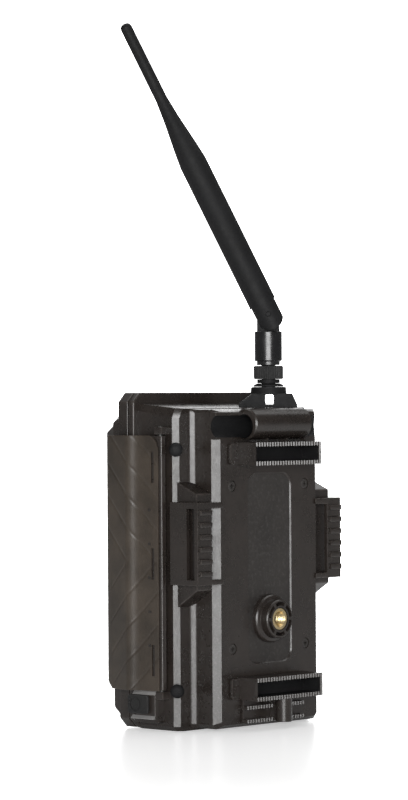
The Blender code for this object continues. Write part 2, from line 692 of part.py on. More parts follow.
def main():
    for obj in list(bpy.data.objects):
        bpy.data.objects.remove(obj, do_unlink=True)
    looks = {
        "housing": make_look("housing_plastic", (0.042, 0.036, 0.032), 0.5),
        "bronze": make_look("bronze_plastic", (0.125, 0.105, 0.082), 0.42),
        "black": make_look("black_plastic", (0.016, 0.016, 0.017), 0.42),
        "rubber": make_look("black_rubber", (0.02, 0.02, 0.02), 0.75),
        "brass": make_look("brass", (0.6, 0.44, 0.2), 0.3, 1.0),
        "steel": make_look("steel", (0.5, 0.5, 0.5), 0.35, 1.0),
        "glass": make_look("clear_glass", (0.6, 0.65, 0.7), 0.05, 0.0, 0.35),
        "dark_glass": make_look("dark_window", (0.012, 0.01, 0.014), 0.12),
        "lens_plastic": make_look("lens_plastic", (0.55, 0.55, 0.53), 0.45),
        "board": make_look("circuit_board", (0.02, 0.12, 0.05), 0.45),
        "cell": make_look("cell_sleeve", (0.05, 0.05, 0.06), 0.35),
        "card": make_look("memory_card", (0.03, 0.03, 0.035), 0.5),
    }
    rear_housing(looks["housing"])
    make_rear_hardware(looks)
    make_brackets(looks["housing"])
    make_strap_loops(looks["housing"])
    make_latch(looks)
    make_power_port(looks)
    front_housing(looks["housing"])
    make_optics(looks)
    make_controls(looks)
    make_power_and_radio(looks)
    make_antenna(looks)
    hang("door_axis", (*DOOR_PIN, 75.0), ON_DOOR)
    hang("swivel_axis", (*ANTENNA, TILT_Z), ("antenna_barrel", "antenna_tilt_pin"))


main()
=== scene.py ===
"""Looks of a trail camera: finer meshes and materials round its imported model. Sizes in mm."""

import math
import random

import bmesh
import bpy
from mathutils import Matrix, Vector


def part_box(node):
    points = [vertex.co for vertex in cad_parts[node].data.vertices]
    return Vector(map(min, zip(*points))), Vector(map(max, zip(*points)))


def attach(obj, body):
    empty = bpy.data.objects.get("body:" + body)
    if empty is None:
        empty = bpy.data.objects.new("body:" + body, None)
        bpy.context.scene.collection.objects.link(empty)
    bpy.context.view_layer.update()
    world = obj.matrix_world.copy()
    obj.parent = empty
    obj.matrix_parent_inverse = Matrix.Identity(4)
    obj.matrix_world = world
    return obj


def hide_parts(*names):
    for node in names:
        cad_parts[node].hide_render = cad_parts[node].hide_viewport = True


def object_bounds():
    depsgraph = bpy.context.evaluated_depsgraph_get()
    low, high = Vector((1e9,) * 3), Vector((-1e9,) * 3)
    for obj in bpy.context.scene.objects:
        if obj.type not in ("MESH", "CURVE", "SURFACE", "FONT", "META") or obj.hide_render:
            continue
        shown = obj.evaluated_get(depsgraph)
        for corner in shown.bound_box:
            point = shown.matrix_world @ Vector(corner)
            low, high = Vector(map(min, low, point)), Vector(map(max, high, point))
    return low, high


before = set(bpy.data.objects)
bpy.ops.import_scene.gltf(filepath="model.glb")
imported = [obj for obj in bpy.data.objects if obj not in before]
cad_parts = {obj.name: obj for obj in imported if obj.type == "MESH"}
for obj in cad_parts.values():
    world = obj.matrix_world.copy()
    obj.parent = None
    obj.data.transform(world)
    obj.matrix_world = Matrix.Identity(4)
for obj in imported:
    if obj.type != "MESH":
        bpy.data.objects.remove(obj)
cad_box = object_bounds()

MM = 0.001
GAP = 0.3
SHARP_ANGLE = math.radians(38)
SETTLED = "face_weighted"
X, Y, Z = (1, 0, 0), (0, 1, 0), (0, 0, 1)

# Housing halves, measured from the middle plane of the body.
RIM_HALF = 48.2
RIM_TOP = 150.0
RIM_LOW = 0.4
RIM_CUT = 4.2
RIM_STEP = (-31.5, 144.0)
DOOR_FRONT = -29.4
DOOR_LIP = -17.6
SEAM = -11.6
REAR_LIP = -8.0
BODY_HALF = 45.2
BODY_TOP = (145.0, 142.8)
SHOULDER = 15.1
SHOULDER_CUT = 2.25
BAY_HALF = 34.65
BAY_LOW = 0.9
BAY_TOP = 142.2
BACK = 29.5
BACK_CUT = 2.9
WALL = 2.3

# Back: tripod boss, brackets, cable tunnel, strap loops.
TRIPOD = (0.0, 0.0, 48.4)
INSERT_R = 4.75
TUNNEL_Y = 32.5
TUNNEL_Z = 135.0
TUNNEL_R = 7.0
TUNNEL_BORE = 5.4
BRACKET_HALF = 22.0
BRACKET_TIP = 42.0
TOOTH_PITCH = 1.76
TOOTH_DEPTH = 0.42
LOOP_SIDE = 48.0
LOOP_LOW = 65.0
LOOP_HIGH = 101.5
SCREWS = [(x, 0.0, z) for z in (36.0, 108.3) for x in (-24.3, 24.3)]

# Hinges and the power port.
DOOR_PIN = (-51.6, SEAM, 0.0)
LATCH_PIN = (48.2, 8.6, 0.0)
LATCH_LOW = 18.0
LATCH_HIGH = 131.0
PORT_FACE = 50.4
PORT = (0.0, -4.0, 11.75)

# Antenna. SIGHT is the direction of its tilt pin in plan, and the camera's too.
ANTENNA = (-17.0, 14.5, 0.0)
SIGHT = Vector((0.731, 0.682, 0.0)).normalized()
ACROSS = Vector((-SIGHT.y, SIGHT.x, 0.0))
UP = Vector((0.0, 0.0, 1.0))
TILT_Z = 185.3
TILT = math.radians(26.0)
WHIP_LENGTH = 147.6
WHIP_R = 6.3
TONGUE_HALF = 5.1
NUT_TEETH = 44

# Front and inner cover.
LENS = (0.0, 0.0, 80.0)
PIR = (0.0, 0.0, 40.0)
STATUS = (-24.0, 0.0, 62.0)
BUTTONS = (("menu", -21.0), ("up", -7.0), ("down", 7.0), ("ok", 21.0))
BUTTON_Z = 72.0
SWITCH_Z = 56.5

# AA cells.
CELL_R = 7.1
CELL_PITCH = 14.6
CELL_Y = 17.9
CELL_ROWS = (11.0, 70.5)
CELL_LENGTH = 50.5

SMALL_PART_AREA = 60.0


# Materials.


def wire(tree, kind, inputs=None, **settings):
    """Adds a shader node, applies its settings, and sets or links its inputs."""
    node = tree.nodes.new("ShaderNode" + kind)
    for key, value in settings.items():
        setattr(node, key, value)
    for key, value in (inputs or {}).items():
        if isinstance(value, bpy.types.NodeSocket):
            tree.links.new(value, node.inputs[key])
        else:
            node.inputs[key].default_value = value
    return node


def mix(tree, factor, first, second):
    colours = [c if isinstance(c, bpy.types.NodeSocket) else (*c, 1.0) for c in (first, second)]
    inputs = {0: factor, 6: colours[0], 7: colours[1]}
    return wire(tree, "Mix", inputs, data_type="RGBA").outputs[2]


def math_node(tree, operation, first, second):
    return wire(tree, "Math", {0: first, 1: second}, operation=operation).outputs[0]


def remap(tree, value, low, high, to_low=0.0, to_high=1.0):
    inputs = {"Value": value, 1: low, 2: high, 3: to_low, 4: to_high}
    return wire(tree, "MapRange", inputs).outputs[0]


def noise(tree, place, size, detail=3.0):
    """Noise whose features are about size mm across."""
    inputs = {"Vector": place, "Scale": 1.0 / (size * MM), "Detail": detail, "Roughness": 0.6}
    return wire(tree, "TexNoise", inputs).outputs["Fac"]


def new_material(name):
    """(material, node tree, shader, object coordinates) of a new material."""
    material = bpy.data.materials.new(name)
    material.use_nodes = True
    tree = material.node_tree
    place = wire(tree, "TexCoord").outputs["Object"]
    return material, tree, tree.nodes["Principled BSDF"], place


def surface(name, colour, rough, grain, size=0.5, **options):
    """A moulded, cast or cut surface: clouds of tone, a fine grain, uneven gloss, rubbed edges.

    grain is the height of the bumps and size their width. blotch is how far the tone varies
    and speckle how far single grains do.
    """
    blotch = options.get("blotch", 0.16)
    worn = [min(1.0, 2.2 * c + 0.02) for c in colour]
    look, tree, shader, place = new_material(name)
    clouds = noise(tree, place, 22.0, 5.0)
    grains = noise(tree, place, size)
    smears = noise(tree, place, 3.5, 4.0)
    dark = [c * (1 - blotch) for c in colour]
    light = [min(1.0, c * (1 + blotch)) for c in colour]
    tone = mix(tree, remap(tree, clouds, 0.38, 0.62), dark, light)
    fleck = remap(tree, grains, 0.5, 0.75, 0.0, options.get("speckle", 0.12))
    tone = mix(tree, fleck, tone, [min(1.0, 2.0 * c + 0.05) for c in colour])
    edge = wire(tree, "Attribute", attribute_name="worn").outputs["Fac"]
    rubbed = remap(tree, smears, 0.42, 0.62, 0.15, 0.6)
    tone = mix(tree, math_node(tree, "MULTIPLY", edge, rubbed), tone, worn)
    tree.links.new(tone, shader.inputs["Base Color"])
    gloss = math_node(tree, "ADD", clouds, smears)
    gloss = remap(tree, gloss, 0.75, 1.25, rough - 0.07, rough + 0.07)
    tree.links.new(gloss, shader.inputs["Roughness"])
    bump = wire(tree, "Bump", {"Height": grains, "Distance": grain * MM, "Strength": 1.0})
    tree.links.new(bump.outputs["Normal"], shader.inputs["Normal"])
    shader.inputs["Metallic"].default_value = options.get("metallic", 0.0)
    shader.inputs["Alpha"].default_value = options.get("alpha", 1.0)
    shader.inputs["Coat Weight"].default_value = options.get("coat", 0.0)
    shader.inputs["Specular IOR Level"].default_value = options.get("shine", 0.5)
    return look


LOOKS = {
    "housing": surface("moulded_housing", (0.022, 0.0175, 0.015), 0.3, 0.006),
    # The strips' coarse grain is real; their lighter colour is a painted highlight on the chamfers
    # that face the key light.
    "strip": surface("coarse_texture_painted_highlight", (0.054, 0.051, 0.048), 0.36, 0.07, 0.9, speckle=0.4),
    "leather": surface("grained_recess", (0.024, 0.021, 0.019), 0.5, 0.09, 1.6, speckle=0.3),
    "bronze": surface("bronze_paint", (0.042, 0.0325, 0.024), 0.36, 0.012, blotch=0.25),
    "black": surface("black_moulding", (0.004, 0.004, 0.0045), 0.3, 0.003, 0.3, shine=0.65),
    # Pale colour of the port ledges: a painted highlight.
    "lip": surface("pale_ledge_painted_highlight", (0.24, 0.235, 0.23), 0.5, 0.01, 0.4),
    # Dark antenna rubber, also given to the tunnel's bore and the brackets' channels as painted
    # shade.
    "rod": surface("antenna_rubber_and_painted_shade", (0.009, 0.009, 0.0095), 0.62, 0.006, 0.35, shine=0.2),
    "rubber": surface("soft_rubber", (0.011, 0.011, 0.011), 0.7, 0.02, 0.4),
    "brass": surface("turned_brass", (0.7, 0.56, 0.32), 0.42, 0.006, 0.3, metallic=1.0),
    "steel": surface("plated_steel", (0.5, 0.5, 0.49), 0.34, 0.004, 0.25, metallic=1.0),
    "screw": surface("blacked_steel", (0.03, 0.029, 0.027), 0.4, 0.01, 0.3, metallic=0.3),
    "glass": surface("lens_glass", (0.02, 0.022, 0.03), 0.04, 0.0, blotch=0.3, coat=1.0, alpha=0.5),
    "tint": surface("tinted_window", (0.012, 0.009, 0.013), 0.1, 0.002, coat=1.0, alpha=0.75),
    "milky": surface("milky_lens", (0.52, 0.52, 0.5), 0.4, 0.006, blotch=0.06, speckle=0.0),
    "board": surface("solder_mask", (0.012, 0.075, 0.032), 0.36, 0.01, 0.6, coat=0.3),
    "chip": surface("chip_resin", (0.02, 0.02, 0.021), 0.55, 0.008, 0.2),
    "pad": surface("tinned_pad", (0.62, 0.6, 0.55), 0.35, 0.004, metallic=1.0),
    "sleeve": surface("cell_sleeve", (0.03, 0.03, 0.034), 0.28, 0.004, coat=0.4),
    "band": surface("cell_band", (0.42, 0.2, 0.07), 0.3, 0.004, coat=0.4, metallic=0.6),
    "card": surface("card_plastic", (0.028, 0.028, 0.032), 0.5, 0.01, 0.3),
    "screen": surface("screen_glass", (0.016, 0.02, 0.022), 0.08, 0.001, blotch=0.3, coat=1.0),
    "led": surface("led_epoxy", (0.35, 0.33, 0.34), 0.12, 0.0, coat=1.0),
}


# Mesh helpers. looks holds the names of a piece's materials, and marks picks the faces that take
# the second one.


def add_rings(bm, rings, closed=False, marks=()):
    """Skins rings of equal length. Caps the first and last unless the rings close on themselves."""
    loops = [[bm.verts.new(Vector(point) * MM) for point in ring] for ring in rings]
    pairs = list(zip(loops, loops[1:]))
    if closed:
        pairs.append((loops[-1], loops[0]))
    else:
        bm.faces.new(loops[0][::-1])
        bm.faces.new(loops[-1])
    for k, (near, far) in enumerate(pairs):
        for i in range(len(near)):
            j = (i + 1) % len(near)
            face = bm.faces.new((near[i], near[j], far[j], far[i]))
            if (k, i) in marks or k in marks:
                face.material_index = 1


def round_edges(bm, width, sharper_than):
    """Rounds the sharp edges, and marks the rounded faces as worn."""
    worn = bm.faces.layers.float.new("worn")
    limit = math.radians(sharper_than)
    edges = [e for e in bm.edges if e.is_manifold and e.calc_face_angle(0.0) > limit]
    shape = dict(offset=width * MM, offset_type="OFFSET", segments=2, profile=0.5)
    made = bmesh.ops.bevel(bm, geom=edges, affect="EDGES", clamp_overlap=True, **shape)
    for face in made["faces"]:
        face[worn] = 1.0


def linked(name, data):
    obj = bpy.data.objects.new(name, data)
    bpy.context.scene.collection.objects.link(obj)
    return obj


def add_object(name, bm, looks="housing", soft=0.0, sharper_than=25.0):
    bmesh.ops.recalc_face_normals(bm, faces=bm.faces[:])
    if soft:
        round_edges(bm, soft, sharper_than)
    mesh = bpy.data.meshes.new(name)
    bm.to_mesh(mesh)
    bm.free()
    for look in looks.split():
        mesh.materials.append(LOOKS[look])
    return linked(name, mesh)


def place(outline, axis, height):
    """Lifts a flat outline to a ring across an axis: (y, z) for x, (x, z) for y, (x, y) for z."""
    if axis == "x":
        return [(height, u, v) for u, v in outline]
    if axis == "y":
        return [(u, height, v) for u, v in outline]
    return [(u, v, height) for u, v in outline]


def stack(name, axis, sections, looks="housing", soft=0.0, closed=False, marks=()):
    """A body skinned through (height, outline) sections along an axis."""
    bm = bmesh.new()
    add_rings(bm, [place(outline, axis, height) for height, outline in sections], closed, marks)
    return add_object(name, bm, looks, soft)


def prism(name, axis, outline, low, high, looks="housing", soft=0.0):
    return stack(name, axis, [(low, outline), (high, outline)], looks, soft)


def ring_prism(name, axis, outer, inner, low, high, looks="housing", soft=0.0):
    sections = [(low, outer), (high, outer), (high, inner), (low, inner)]
    return stack(name, axis, sections, looks, soft, closed=True)


def boxes(name, corners, looks="housing", soft=0.0):
    """One object of separate boxes, each ((x0, x1), (y0, y1), (z0, z1))."""
    bm = bmesh.new()
    for xs, ys, zs in corners:
        outline = [(xs[0], ys[0]), (xs[1], ys[0]), (xs[1], ys[1]), (xs[0], ys[1])]
        add_rings(bm, [place(outline, "z", height) for height in zs])
    return add_object(name, bm, looks, soft)


def box(name, xs, ys, zs, looks="housing", soft=0.0):
    return boxes(name, [(xs, ys, zs)], looks, soft)


def span(middle, width):
    """The interval of this width round its middle."""
    return (middle - width / 2, middle + width / 2)


def evenly(low, high, count):
    """Numbers from low to high at equal steps."""
    return [low + (high - low) * i / (count - 1) for i in range(count)]


def mirrored(side, near, far):
    """An interval on the side of +X (1) or of -X (-1)."""
    return sorted((side * near, side * far))


def circle(radius, segments, centre=(0.0, 0.0)):
    steps = [math.tau * i / segments for i in range(segments)]
    return [(centre[0] + radius * math.cos(a), centre[1] + radius * math.sin(a)) for a in steps]


def turned(name, profile, centre, axis, looks="housing", soft=0.0, segments=64, **options):
    """A body turned from (radius, height) points about an axis through centre."""
    direction = Vector(axis).normalized()
    turn = direction.to_track_quat("Z", "Y").to_matrix()
    rings = []
    for radius, height in profile:
        flat = circle(radius, segments)
        rings.append([Vector(centre) + turn @ Vector((u, v, height)) for u, v in flat])
    bm = bmesh.new()
    add_rings(bm, rings, options.get("closed", False), options.get("marks", ()))
    return add_object(name, bm, looks, soft)


def oriented(name, outline, origin, along, upward, across, low, high, looks="housing", soft=0.0):
    """A prism whose outline lies in the plane of along and upward, extruded across."""
    bm = bmesh.new()
    rings = []
    for depth in (low, high):
        start = Vector(origin) + Vector(across) * depth
        rings.append([start + Vector(along) * u + Vector(upward) * v for u, v in outline])
    add_rings(bm, rings)
    return add_object(name, bm, looks, soft)


def boolean(target, operation, *tools):
    for tool in tools:
        modifier = target.modifiers.new(tool.name, "BOOLEAN")
        modifier.operation = operation
        modifier.solver = "EXACT"
        modifier.object = tool


def cut(target, *tools):
    boolean(target, "DIFFERENCE", *tools)


def weld(target, *tools):
    boolean(target, "UNION", *tools)


def drill(target, name, centre, axis, radius, low, high, segments=64):
    """Cuts a round hole from low to high along an axis through centre."""
    cut(target, turned(name, [(radius, low), (radius, high)], centre, axis, segments=segments))


def paint(obj, index, picked=lambda face: True):
    """Gives faces a material: the one at index in the piece, or in what a tool cuts or joins."""
    for face in obj.data.polygons:
        if picked(face):
            face.material_index = index


def settle(obj):
    """Applies the modifiers, removes their tools, and shades the result smooth up to its edges."""
    tools = [m.object for m in obj.modifiers if m.type == "BOOLEAN"]
    bpy.context.view_layer.update()
    graph = bpy.context.evaluated_depsgraph_get()
    mesh = bpy.data.meshes.new_from_object(obj.evaluated_get(graph))
    obj.modifiers.clear()
    obj.data = mesh
    for tool in tools:
        bpy.data.objects.remove(tool, do_unlink=True)
    mesh.shade_smooth()
    mesh.set_sharp_from_angle(angle=SHARP_ANGLE)
    obj.modifiers.new(SETTLED, "WEIGHTED_NORMAL").keep_sharp = True
    return obj


def merge(obj, *others):
    """Settles all the pieces and adds the others to the first, each keeping its own materials."""
    bm = bmesh.new()
    materials = []
    for piece in (obj, *others):
        before = len(bm.faces)
        bm.from_mesh(settle(piece).data)
        bm.faces.ensure_lookup_table()
        slots = []
        for material in piece.data.materials:
            if material not in materials:
                materials.append(material)
            slots.append(materials.index(material))
        for face in bm.faces[before:]:
            face.material_index = slots[face.material_index]
    bm.to_mesh(obj.data)
    bm.free()
    obj.data.materials.clear()
    for material in materials:
        obj.data.materials.append(material)
    for piece in others:
        bpy.data.objects.remove(piece, do_unlink=True)
    obj.data.set_sharp_from_angle(angle=SHARP_ANGLE)
    return obj


def stand_in(obj, body, node=None):
    """Shows a piece, settled, in place of a CAD node. The default is the node of the same name."""
    if SETTLED not in obj.modifiers:
        settle(obj)
    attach(obj, body)
    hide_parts(node or obj.name.removeprefix("fine_"))


def extent(node):
    """A CAD node's ((x0, x1), (y0, y1), (z0, z1))."""
    low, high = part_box(node)
    return [(a / MM, b / MM) for a, b in zip(low, high)]


# Outlines.


def panel(half, low, high, low_cut, top_cut_x, top_cut_z):
    """An upright rectangle with cut corners, as (x, z) points from the lower left."""
    lower = [(half - low_cut, low), (half, low + low_cut)]
    right = lower + [(half, high - top_cut_z), (half - top_cut_x, high)]
    left = [(-x, z) for x, z in right[::-1]]
    return left[-1:] + right + left[:-1]


def rim_outline():
    """The flange round the seam: cut corners, and a step down beside the antenna's foot."""
    points = panel(RIM_HALF, RIM_LOW, RIM_TOP, RIM_CUT, RIM_CUT, RIM_CUT)
    edge, low = RIM_STEP
    slope = [(edge, RIM_TOP), (edge - 5.0, low), (-RIM_HALF + 3.8, low), (-RIM_HALF, low - 3.8)]
    return points[:5] + slope + points[7:]


def rectangle(u0, u1, v0, v1, corner=0.0, steps=8):
    if not corner:
        return [(u0, v0), (u1, v0), (u1, v1), (u0, v1)]
    low_u, high_u, low_v, high_v = u0 + corner, u1 - corner, v0 + corner, v1 - corner
    centres = [(high_u, low_v), (high_u, high_v), (low_u, high_v), (low_u, low_v)]
    points = []
    for quarter, (u, v) in enumerate(centres):
        for degrees in evenly(90 * quarter - 90, 90 * quarter, steps + 1):
            angle = math.radians(degrees)
            points.append((u + corner * math.cos(angle), v + corner * math.sin(angle)))
    return points


def toothed(half, root, tip):
    """An (x, y) outline whose far edge at tip is a row of teeth."""
    count = int(2 * half / TOOTH_PITCH)
    points = [(-half, root), (half, root)]
    for i in range(count):
        right = half - i * TOOTH_PITCH
        slope = right - 0.5
        points.append((right, tip - TOOTH_DEPTH))
        points.append((slope, tip - TOOTH_DEPTH))
        points.append((slope - TOOTH_DEPTH, tip))
        points.append((slope - TOOTH_DEPTH - 0.45, tip))
        points.append((slope - TOOTH_DEPTH - 0.5, tip - TOOTH_DEPTH))
    points.append((-half, tip - TOOTH_DEPTH))
    return points


def arch(half, low, steps=24):
    """An outline with straight sides from low and a round head centred on zero."""
    angles = evenly(0.0, math.pi, steps + 1)
    return [(-half, low), (half, low)] + [(half * math.cos(a), half * math.sin(a)) for a in angles]


# Rear half of the housing.


def body_section(y, half):
    share = (y - REAR_LIP) / (SHOULDER - REAR_LIP)
    top = BODY_TOP[0] + (BODY_TOP[1] - BODY_TOP[0]) * share
    return (y, panel(half, 0.0, top, 2.0, 0.9 + 1.3 * share, 3.2 + 1.2 * share))


def tripod_boss(shell):
    outer = [(10.9, 28.0), (10.7, 30.9), (10.1, 31.5), (8.65, 32.0), (8.65, 35.5), (8.15, 36.0)]
    weld(shell, turned("boss_body", outer, TRIPOD, Y, soft=0.1))
    bm = bmesh.new()
    pockets = 6
    for k in range(pockets):
        share = math.tau / pockets
        angles = evenly(share * (k + 0.1), share * (k + 0.9), 11)
        arcs = [(7.6, a) for a in angles] + [(6.0, a) for a in angles[::-1]]
        outline = [(r * math.cos(a), TRIPOD[2] + r * math.sin(a)) for r, a in arcs]
        add_rings(bm, [place(outline, "y", y) for y in (32.0, 36.6)])
    cut(shell, add_object("boss_pockets", bm))
    drill(shell, "boss_bore", TRIPOD, Y, INSERT_R + GAP, 28.9, 36.8)


def cable_tunnel(shell):
    mouth = 18.8
    tip = TUNNEL_R - 0.65
    inset = mouth - 0.65
    tube = [(tip, -mouth), (TUNNEL_R, -inset), (TUNNEL_R, inset), (tip, mouth)]
    weld(shell, turned("tunnel_tube", tube, (0.0, TUNNEL_Y, TUNNEL_Z + 0.8), X))
    hole = [(TUNNEL_BORE, -38.0), (TUNNEL_BORE, 38.0)]
    bore = turned("tunnel_bore", hole, (0.0, TUNNEL_Y - 0.7, TUNNEL_Z - 0.3), X)
    # The bore's faces take the dark antenna rubber: painted shade inside the tunnel.
    paint(bore, 3)
    cut(shell, bore)
    depth, height = (BACK - 1.0, TUNNEL_Y + 2.2), (TUNNEL_Z - 8.2, TUNNEL_Z - 4.0)
    gussets = [(span(x, 1.2), depth, height) for x in (-19.3, -7.0, 6.0)]
    weld(shell, boxes("tunnel_gussets", gussets, soft=0.15))


def antenna_pedestal(shell):
    lower = [(-14.0, 142.0), (12.9, 142.0), (12.9, 144.2)]
    block = lower + [(10.6, 149.3), (-7.4, 149.3), (-13.4, 145.0)]
    foot = oriented("pedestal_block", block, ANTENNA, ACROSS, UP, SIGHT, -6.8, 6.8, soft=0.5)
    top = turned("pedestal_top", [(8.2, 148.9), (8.0, 152.3)], ANTENNA, Z, soft=0.45)
    paint(foot, 3)
    paint(top, 3)
    weld(shell, foot, top)
    eyelet = rectangle(-1.6, 2.3, 144.2, 148.8, corner=0.6)
    cut(shell, oriented("pedestal_eyelet", eyelet, ANTENNA, ACROSS, UP, SIGHT, -12.0, 12.0))
    drill(shell, "jack_hole", ANTENNA, Z, 3.5, 149.5, 154.0)


def hinge_knuckles(shell, heights, web_y):
    for low, high in heights:
        knuckle = turned("knuckle", [(2.9, low), (2.9, high)], DOOR_PIN, Z, soft=0.35)
        web = box("web", (DOOR_PIN[0], -RIM_HALF + 0.8), web_y, (low, high), soft=0.3)
        weld(shell, knuckle, web)
    drill(shell, "hinge_bore", DOOR_PIN, Z, 1.5, heights[0][0] - 2, heights[-1][1] + 2, 24)


def side_ears(shell):
    for side in (1, -1):
        near = mirrored(side, 33.9, 44.3)
        sections = [(14.7, rectangle(*near, 54.7, 110.4)), (26.6, rectangle(*near, 62.5, 105.2))]
        weld(shell, stack("ear", "y", sections, soft=0.5))
        notch = mirrored(side, 35.3, 45.6)
        cut(shell, box("ear_notch", notch, (24.0, 28.0), (LOOP_LOW + 1, LOOP_HIGH - 1)))


def rear_skin():
    """The body, a concave fillet, and the narrower bay at the back."""
    sections = [
        body_section(REAR_LIP - 1.5, BODY_HALF),
        body_section(SHOULDER - SHOULDER_CUT, BODY_HALF),
        body_section(SHOULDER, BODY_HALF - SHOULDER_CUT),
    ]
    for rise, out in ((0.0, 2.9), (0.12, 2.3), (0.5, 1.7), (1.7, 0.5), (2.3, 0.12), (2.9, 0.0)):
        outline = panel(BAY_HALF + out, BAY_LOW, BAY_TOP + out / 6, 2.0, 0.8, 1.4)
        sections.append((SHOULDER + rise, outline))
    sections.append((BACK - BACK_CUT, panel(BAY_HALF, BAY_LOW, BAY_TOP, 2.0, 0.8, 1.4)))
    sections.append((BACK, panel(BAY_HALF - BACK_CUT, 2.6, 141.0, 1.5, 0.8, 1.4)))
    last = len(sections) - 2
    # The chamfer strips take the second look: a coarse texture with a painted highlight.
    painted_highlight_strips = {(1, 2), (1, 6), (last, 2), (last, 6)}
    looks = "housing strip leather rod lip"
    return stack("fine_rear_housing", "y", sections, looks, 0.3, marks=painted_highlight_strips)


def port_and_latch_mounts(shell):
    """Two ledges with a pale painted highlight and a block round the power port, and lugs for the
    latch's pin.
    """
    upper = [(-1.8, 16.0), (0.1, 16.0), (-1.4, 18.0), (-1.8, 18.0)]
    lower = [(-0.8, 5.3), (1.2, 5.3), (1.2, 5.6), (-0.4, 7.2), (-0.8, 7.2)]
    for shape in (upper, lower):
        ledge = prism("port_ledge", "y", [(PORT_FACE + x, z) for x, z in shape], -7.4, 6.2)
        # The ledges take the pale look: a painted highlight.
        paint(ledge, 4)
        weld(shell, ledge)
    lugs = [((44.2, 50.0), (6.3, 10.9), zs) for zs in ((14.2, 17.6), (131.4, 134.6))]
    weld(shell, boxes("latch_lugs", lugs, soft=0.4))
    wide = rectangle(-8.2, 7.0, 3.5, 17.4, corner=1.2)
    face = rectangle(-7.6, 6.4, 5.6, 16.2, corner=1.2)
    block = [(44.0, wide), (PORT_FACE - 1.6, wide), (PORT_FACE, face)]
    weld(shell, stack("port_block", "x", block, soft=0.2))
    drill(shell, "latch_pin_hole", LATCH_PIN, Z, 1.4, 12.0, 137.0, 24)
    drill(shell, "power_hole", PORT, X, 4.2, 40.0, 54.0, 32)


def rear_housing():
    shell = rear_skin()
    weld(shell, prism("rear_rim", "y", rim_outline(), SEAM + GAP / 2, REAR_LIP, soft=0.7))
    wide = panel(BODY_HALF - WALL, 3.0, 139.6, 2.0, 7.0, 6.0)
    narrow = panel(BAY_HALF - WALL, 6.0, 126.5, 0.3, 0.3, 0.3)
    step = SHOULDER - 2.5
    cavity = [(SEAM - 1.0, wide), (step, wide), (step, narrow), (BACK - WALL, narrow)]
    cut(shell, stack("rear_cavity", "y", cavity))
    land = []
    for rise in (-0.55, 0.55):
        edges = (-15.0 - rise, 14.0 + rise, 28.5 - rise, 114.0 + rise)
        land.append((BACK + rise, rectangle(*edges, corner=6.0 + rise)))
    recess = stack("back_recess", "y", land)
    paint(recess, 2, lambda face: abs(face.normal.y) > 0.9)
    cut(shell, recess)
    corner = ((BAY_HALF - 4.0, BAY_HALF), (BACK - 4.0, BACK), (TUNNEL_Z - 6.0, 141.0))
    weld(shell, box("square_corner", *corner, soft=0.3))
    side_ears(shell)
    tripod_boss(shell)
    cable_tunnel(shell)
    antenna_pedestal(shell)
    hinge_knuckles(shell, [(30.0, 45.0), (105.0, 120.0)], (SEAM + GAP / 2, -8.9))
    port_and_latch_mounts(shell)
    seat = [(1.3, 26.0), (1.3, BACK - 1.3), (2.45, BACK - 1.3), (2.45, BACK + 1.0)]
    for centre in SCREWS:
        cut(shell, turned("screw_seat", seat, centre, Y, segments=32))
    outer, inner = panel(46.8, 1.6, 142.9, 3.8, 3.8, 3.8), panel(44.4, 4.2, 140.5, 3.0, 3.0, 3.0)
    cut(shell, ring_prism("gasket_groove", "y", outer, inner, SEAM - 1.0, -9.9))
    rows = [((2.0, 8.0), range(-36, 37, 12)), ((134.0, 140.5), (-36, -24, 24, 36))]
    ribs = [(span(x, 1.2), (-8.0, SHOULDER - 2.0), zs) for zs, places in rows for x in places]
    weld(shell, boxes("inner_ribs", ribs, soft=0.15))
    stand_in(shell, "housing")


def cross_recess(screw, centre, axis, head, reach):
    """Cuts a cross slot into a screw's head, head mm along its axis."""
    direction = Vector(axis).normalized()
    turn = direction.to_track_quat("Z", "Y").to_matrix()
    first, second = turn @ Vector(X), turn @ Vector(Y)
    slot = rectangle(-reach, reach, -0.32, 0.32)
    for name, along, upward in (("slot_a", first, second), ("slot_b", second, first)):
        tool = oriented(name, slot, centre, along, upward, direction, head - 1.0, head + 1.5)
        cut(screw, tool)


def rear_hardware():
    outer, inner = panel(46.4, 2.0, 142.5, 3.6, 3.6, 3.6), panel(44.8, 3.8, 140.9, 3.1, 3.1, 3.1)
    gasket = ring_prism("fine_gasket", "y", outer, inner, -11.4, -10.2, "rubber", 0.3)
    stand_in(gasket, "housing", "housing_gasket")
    for number, centre in enumerate(SCREWS, start=1):
        shape = [(1.0, 27.5), (1.0, 28.5), (2.35, 28.5), (2.35, 29.1), (2.0, 29.35)]
        screw = turned(f"fine_back_screw_{number}", shape, centre, Y, "leather", 0.1, 32)
        cross_recess(screw, centre, Y, 29.35, 1.1)
        stand_in(screw, "housing")
    insert = [(3.6, 29.3), (INSERT_R, 29.3), (INSERT_R, 35.7), (3.6, 35.7)]
    for turn in range(5):
        y = 34.9 - 1.08 * turn
        insert += [(3.1, y), (3.5, y - 0.54)]
    insert = turned("fine_tripod_insert", insert, TRIPOD, Y, "brass", closed=True)
    stand_in(insert, "housing")
    pins = (("door_hinge_pin", DOOR_PIN, 1.2, "steel"), ("latch_pin", LATCH_PIN, 1.1, "screw"))
    for node, centre, radius, look in pins:
        low, high = extent(node)[2]
        thin = radius - 0.3
        shape = [(thin, low), (radius, low + 0.3), (radius, high - 0.3), (thin, high)]
        stand_in(turned("fine_" + node, shape, centre, Z, look, segments=24), "housing")
    diagonal = (1, 1, 0)
    for label, z in (("lower", 18.0), ("upper", 124.7)):
        head = [(2.2, 0.4), (3.0, 0.8), (3.1, 2.2), (2.8, 3.0), (2.0, 3.65), (1.0, 3.9)]
        corner = (BODY_HALF - SHOULDER_CUT / 2, SHOULDER - SHOULDER_CUT / 2, z)
        screw = turned("fine_side_screw_" + label, head, corner, diagonal, "rod", segments=40)
        cross_recess(screw, corner, diagonal, 4.2, 1.3)
        stand_in(screw, "housing")


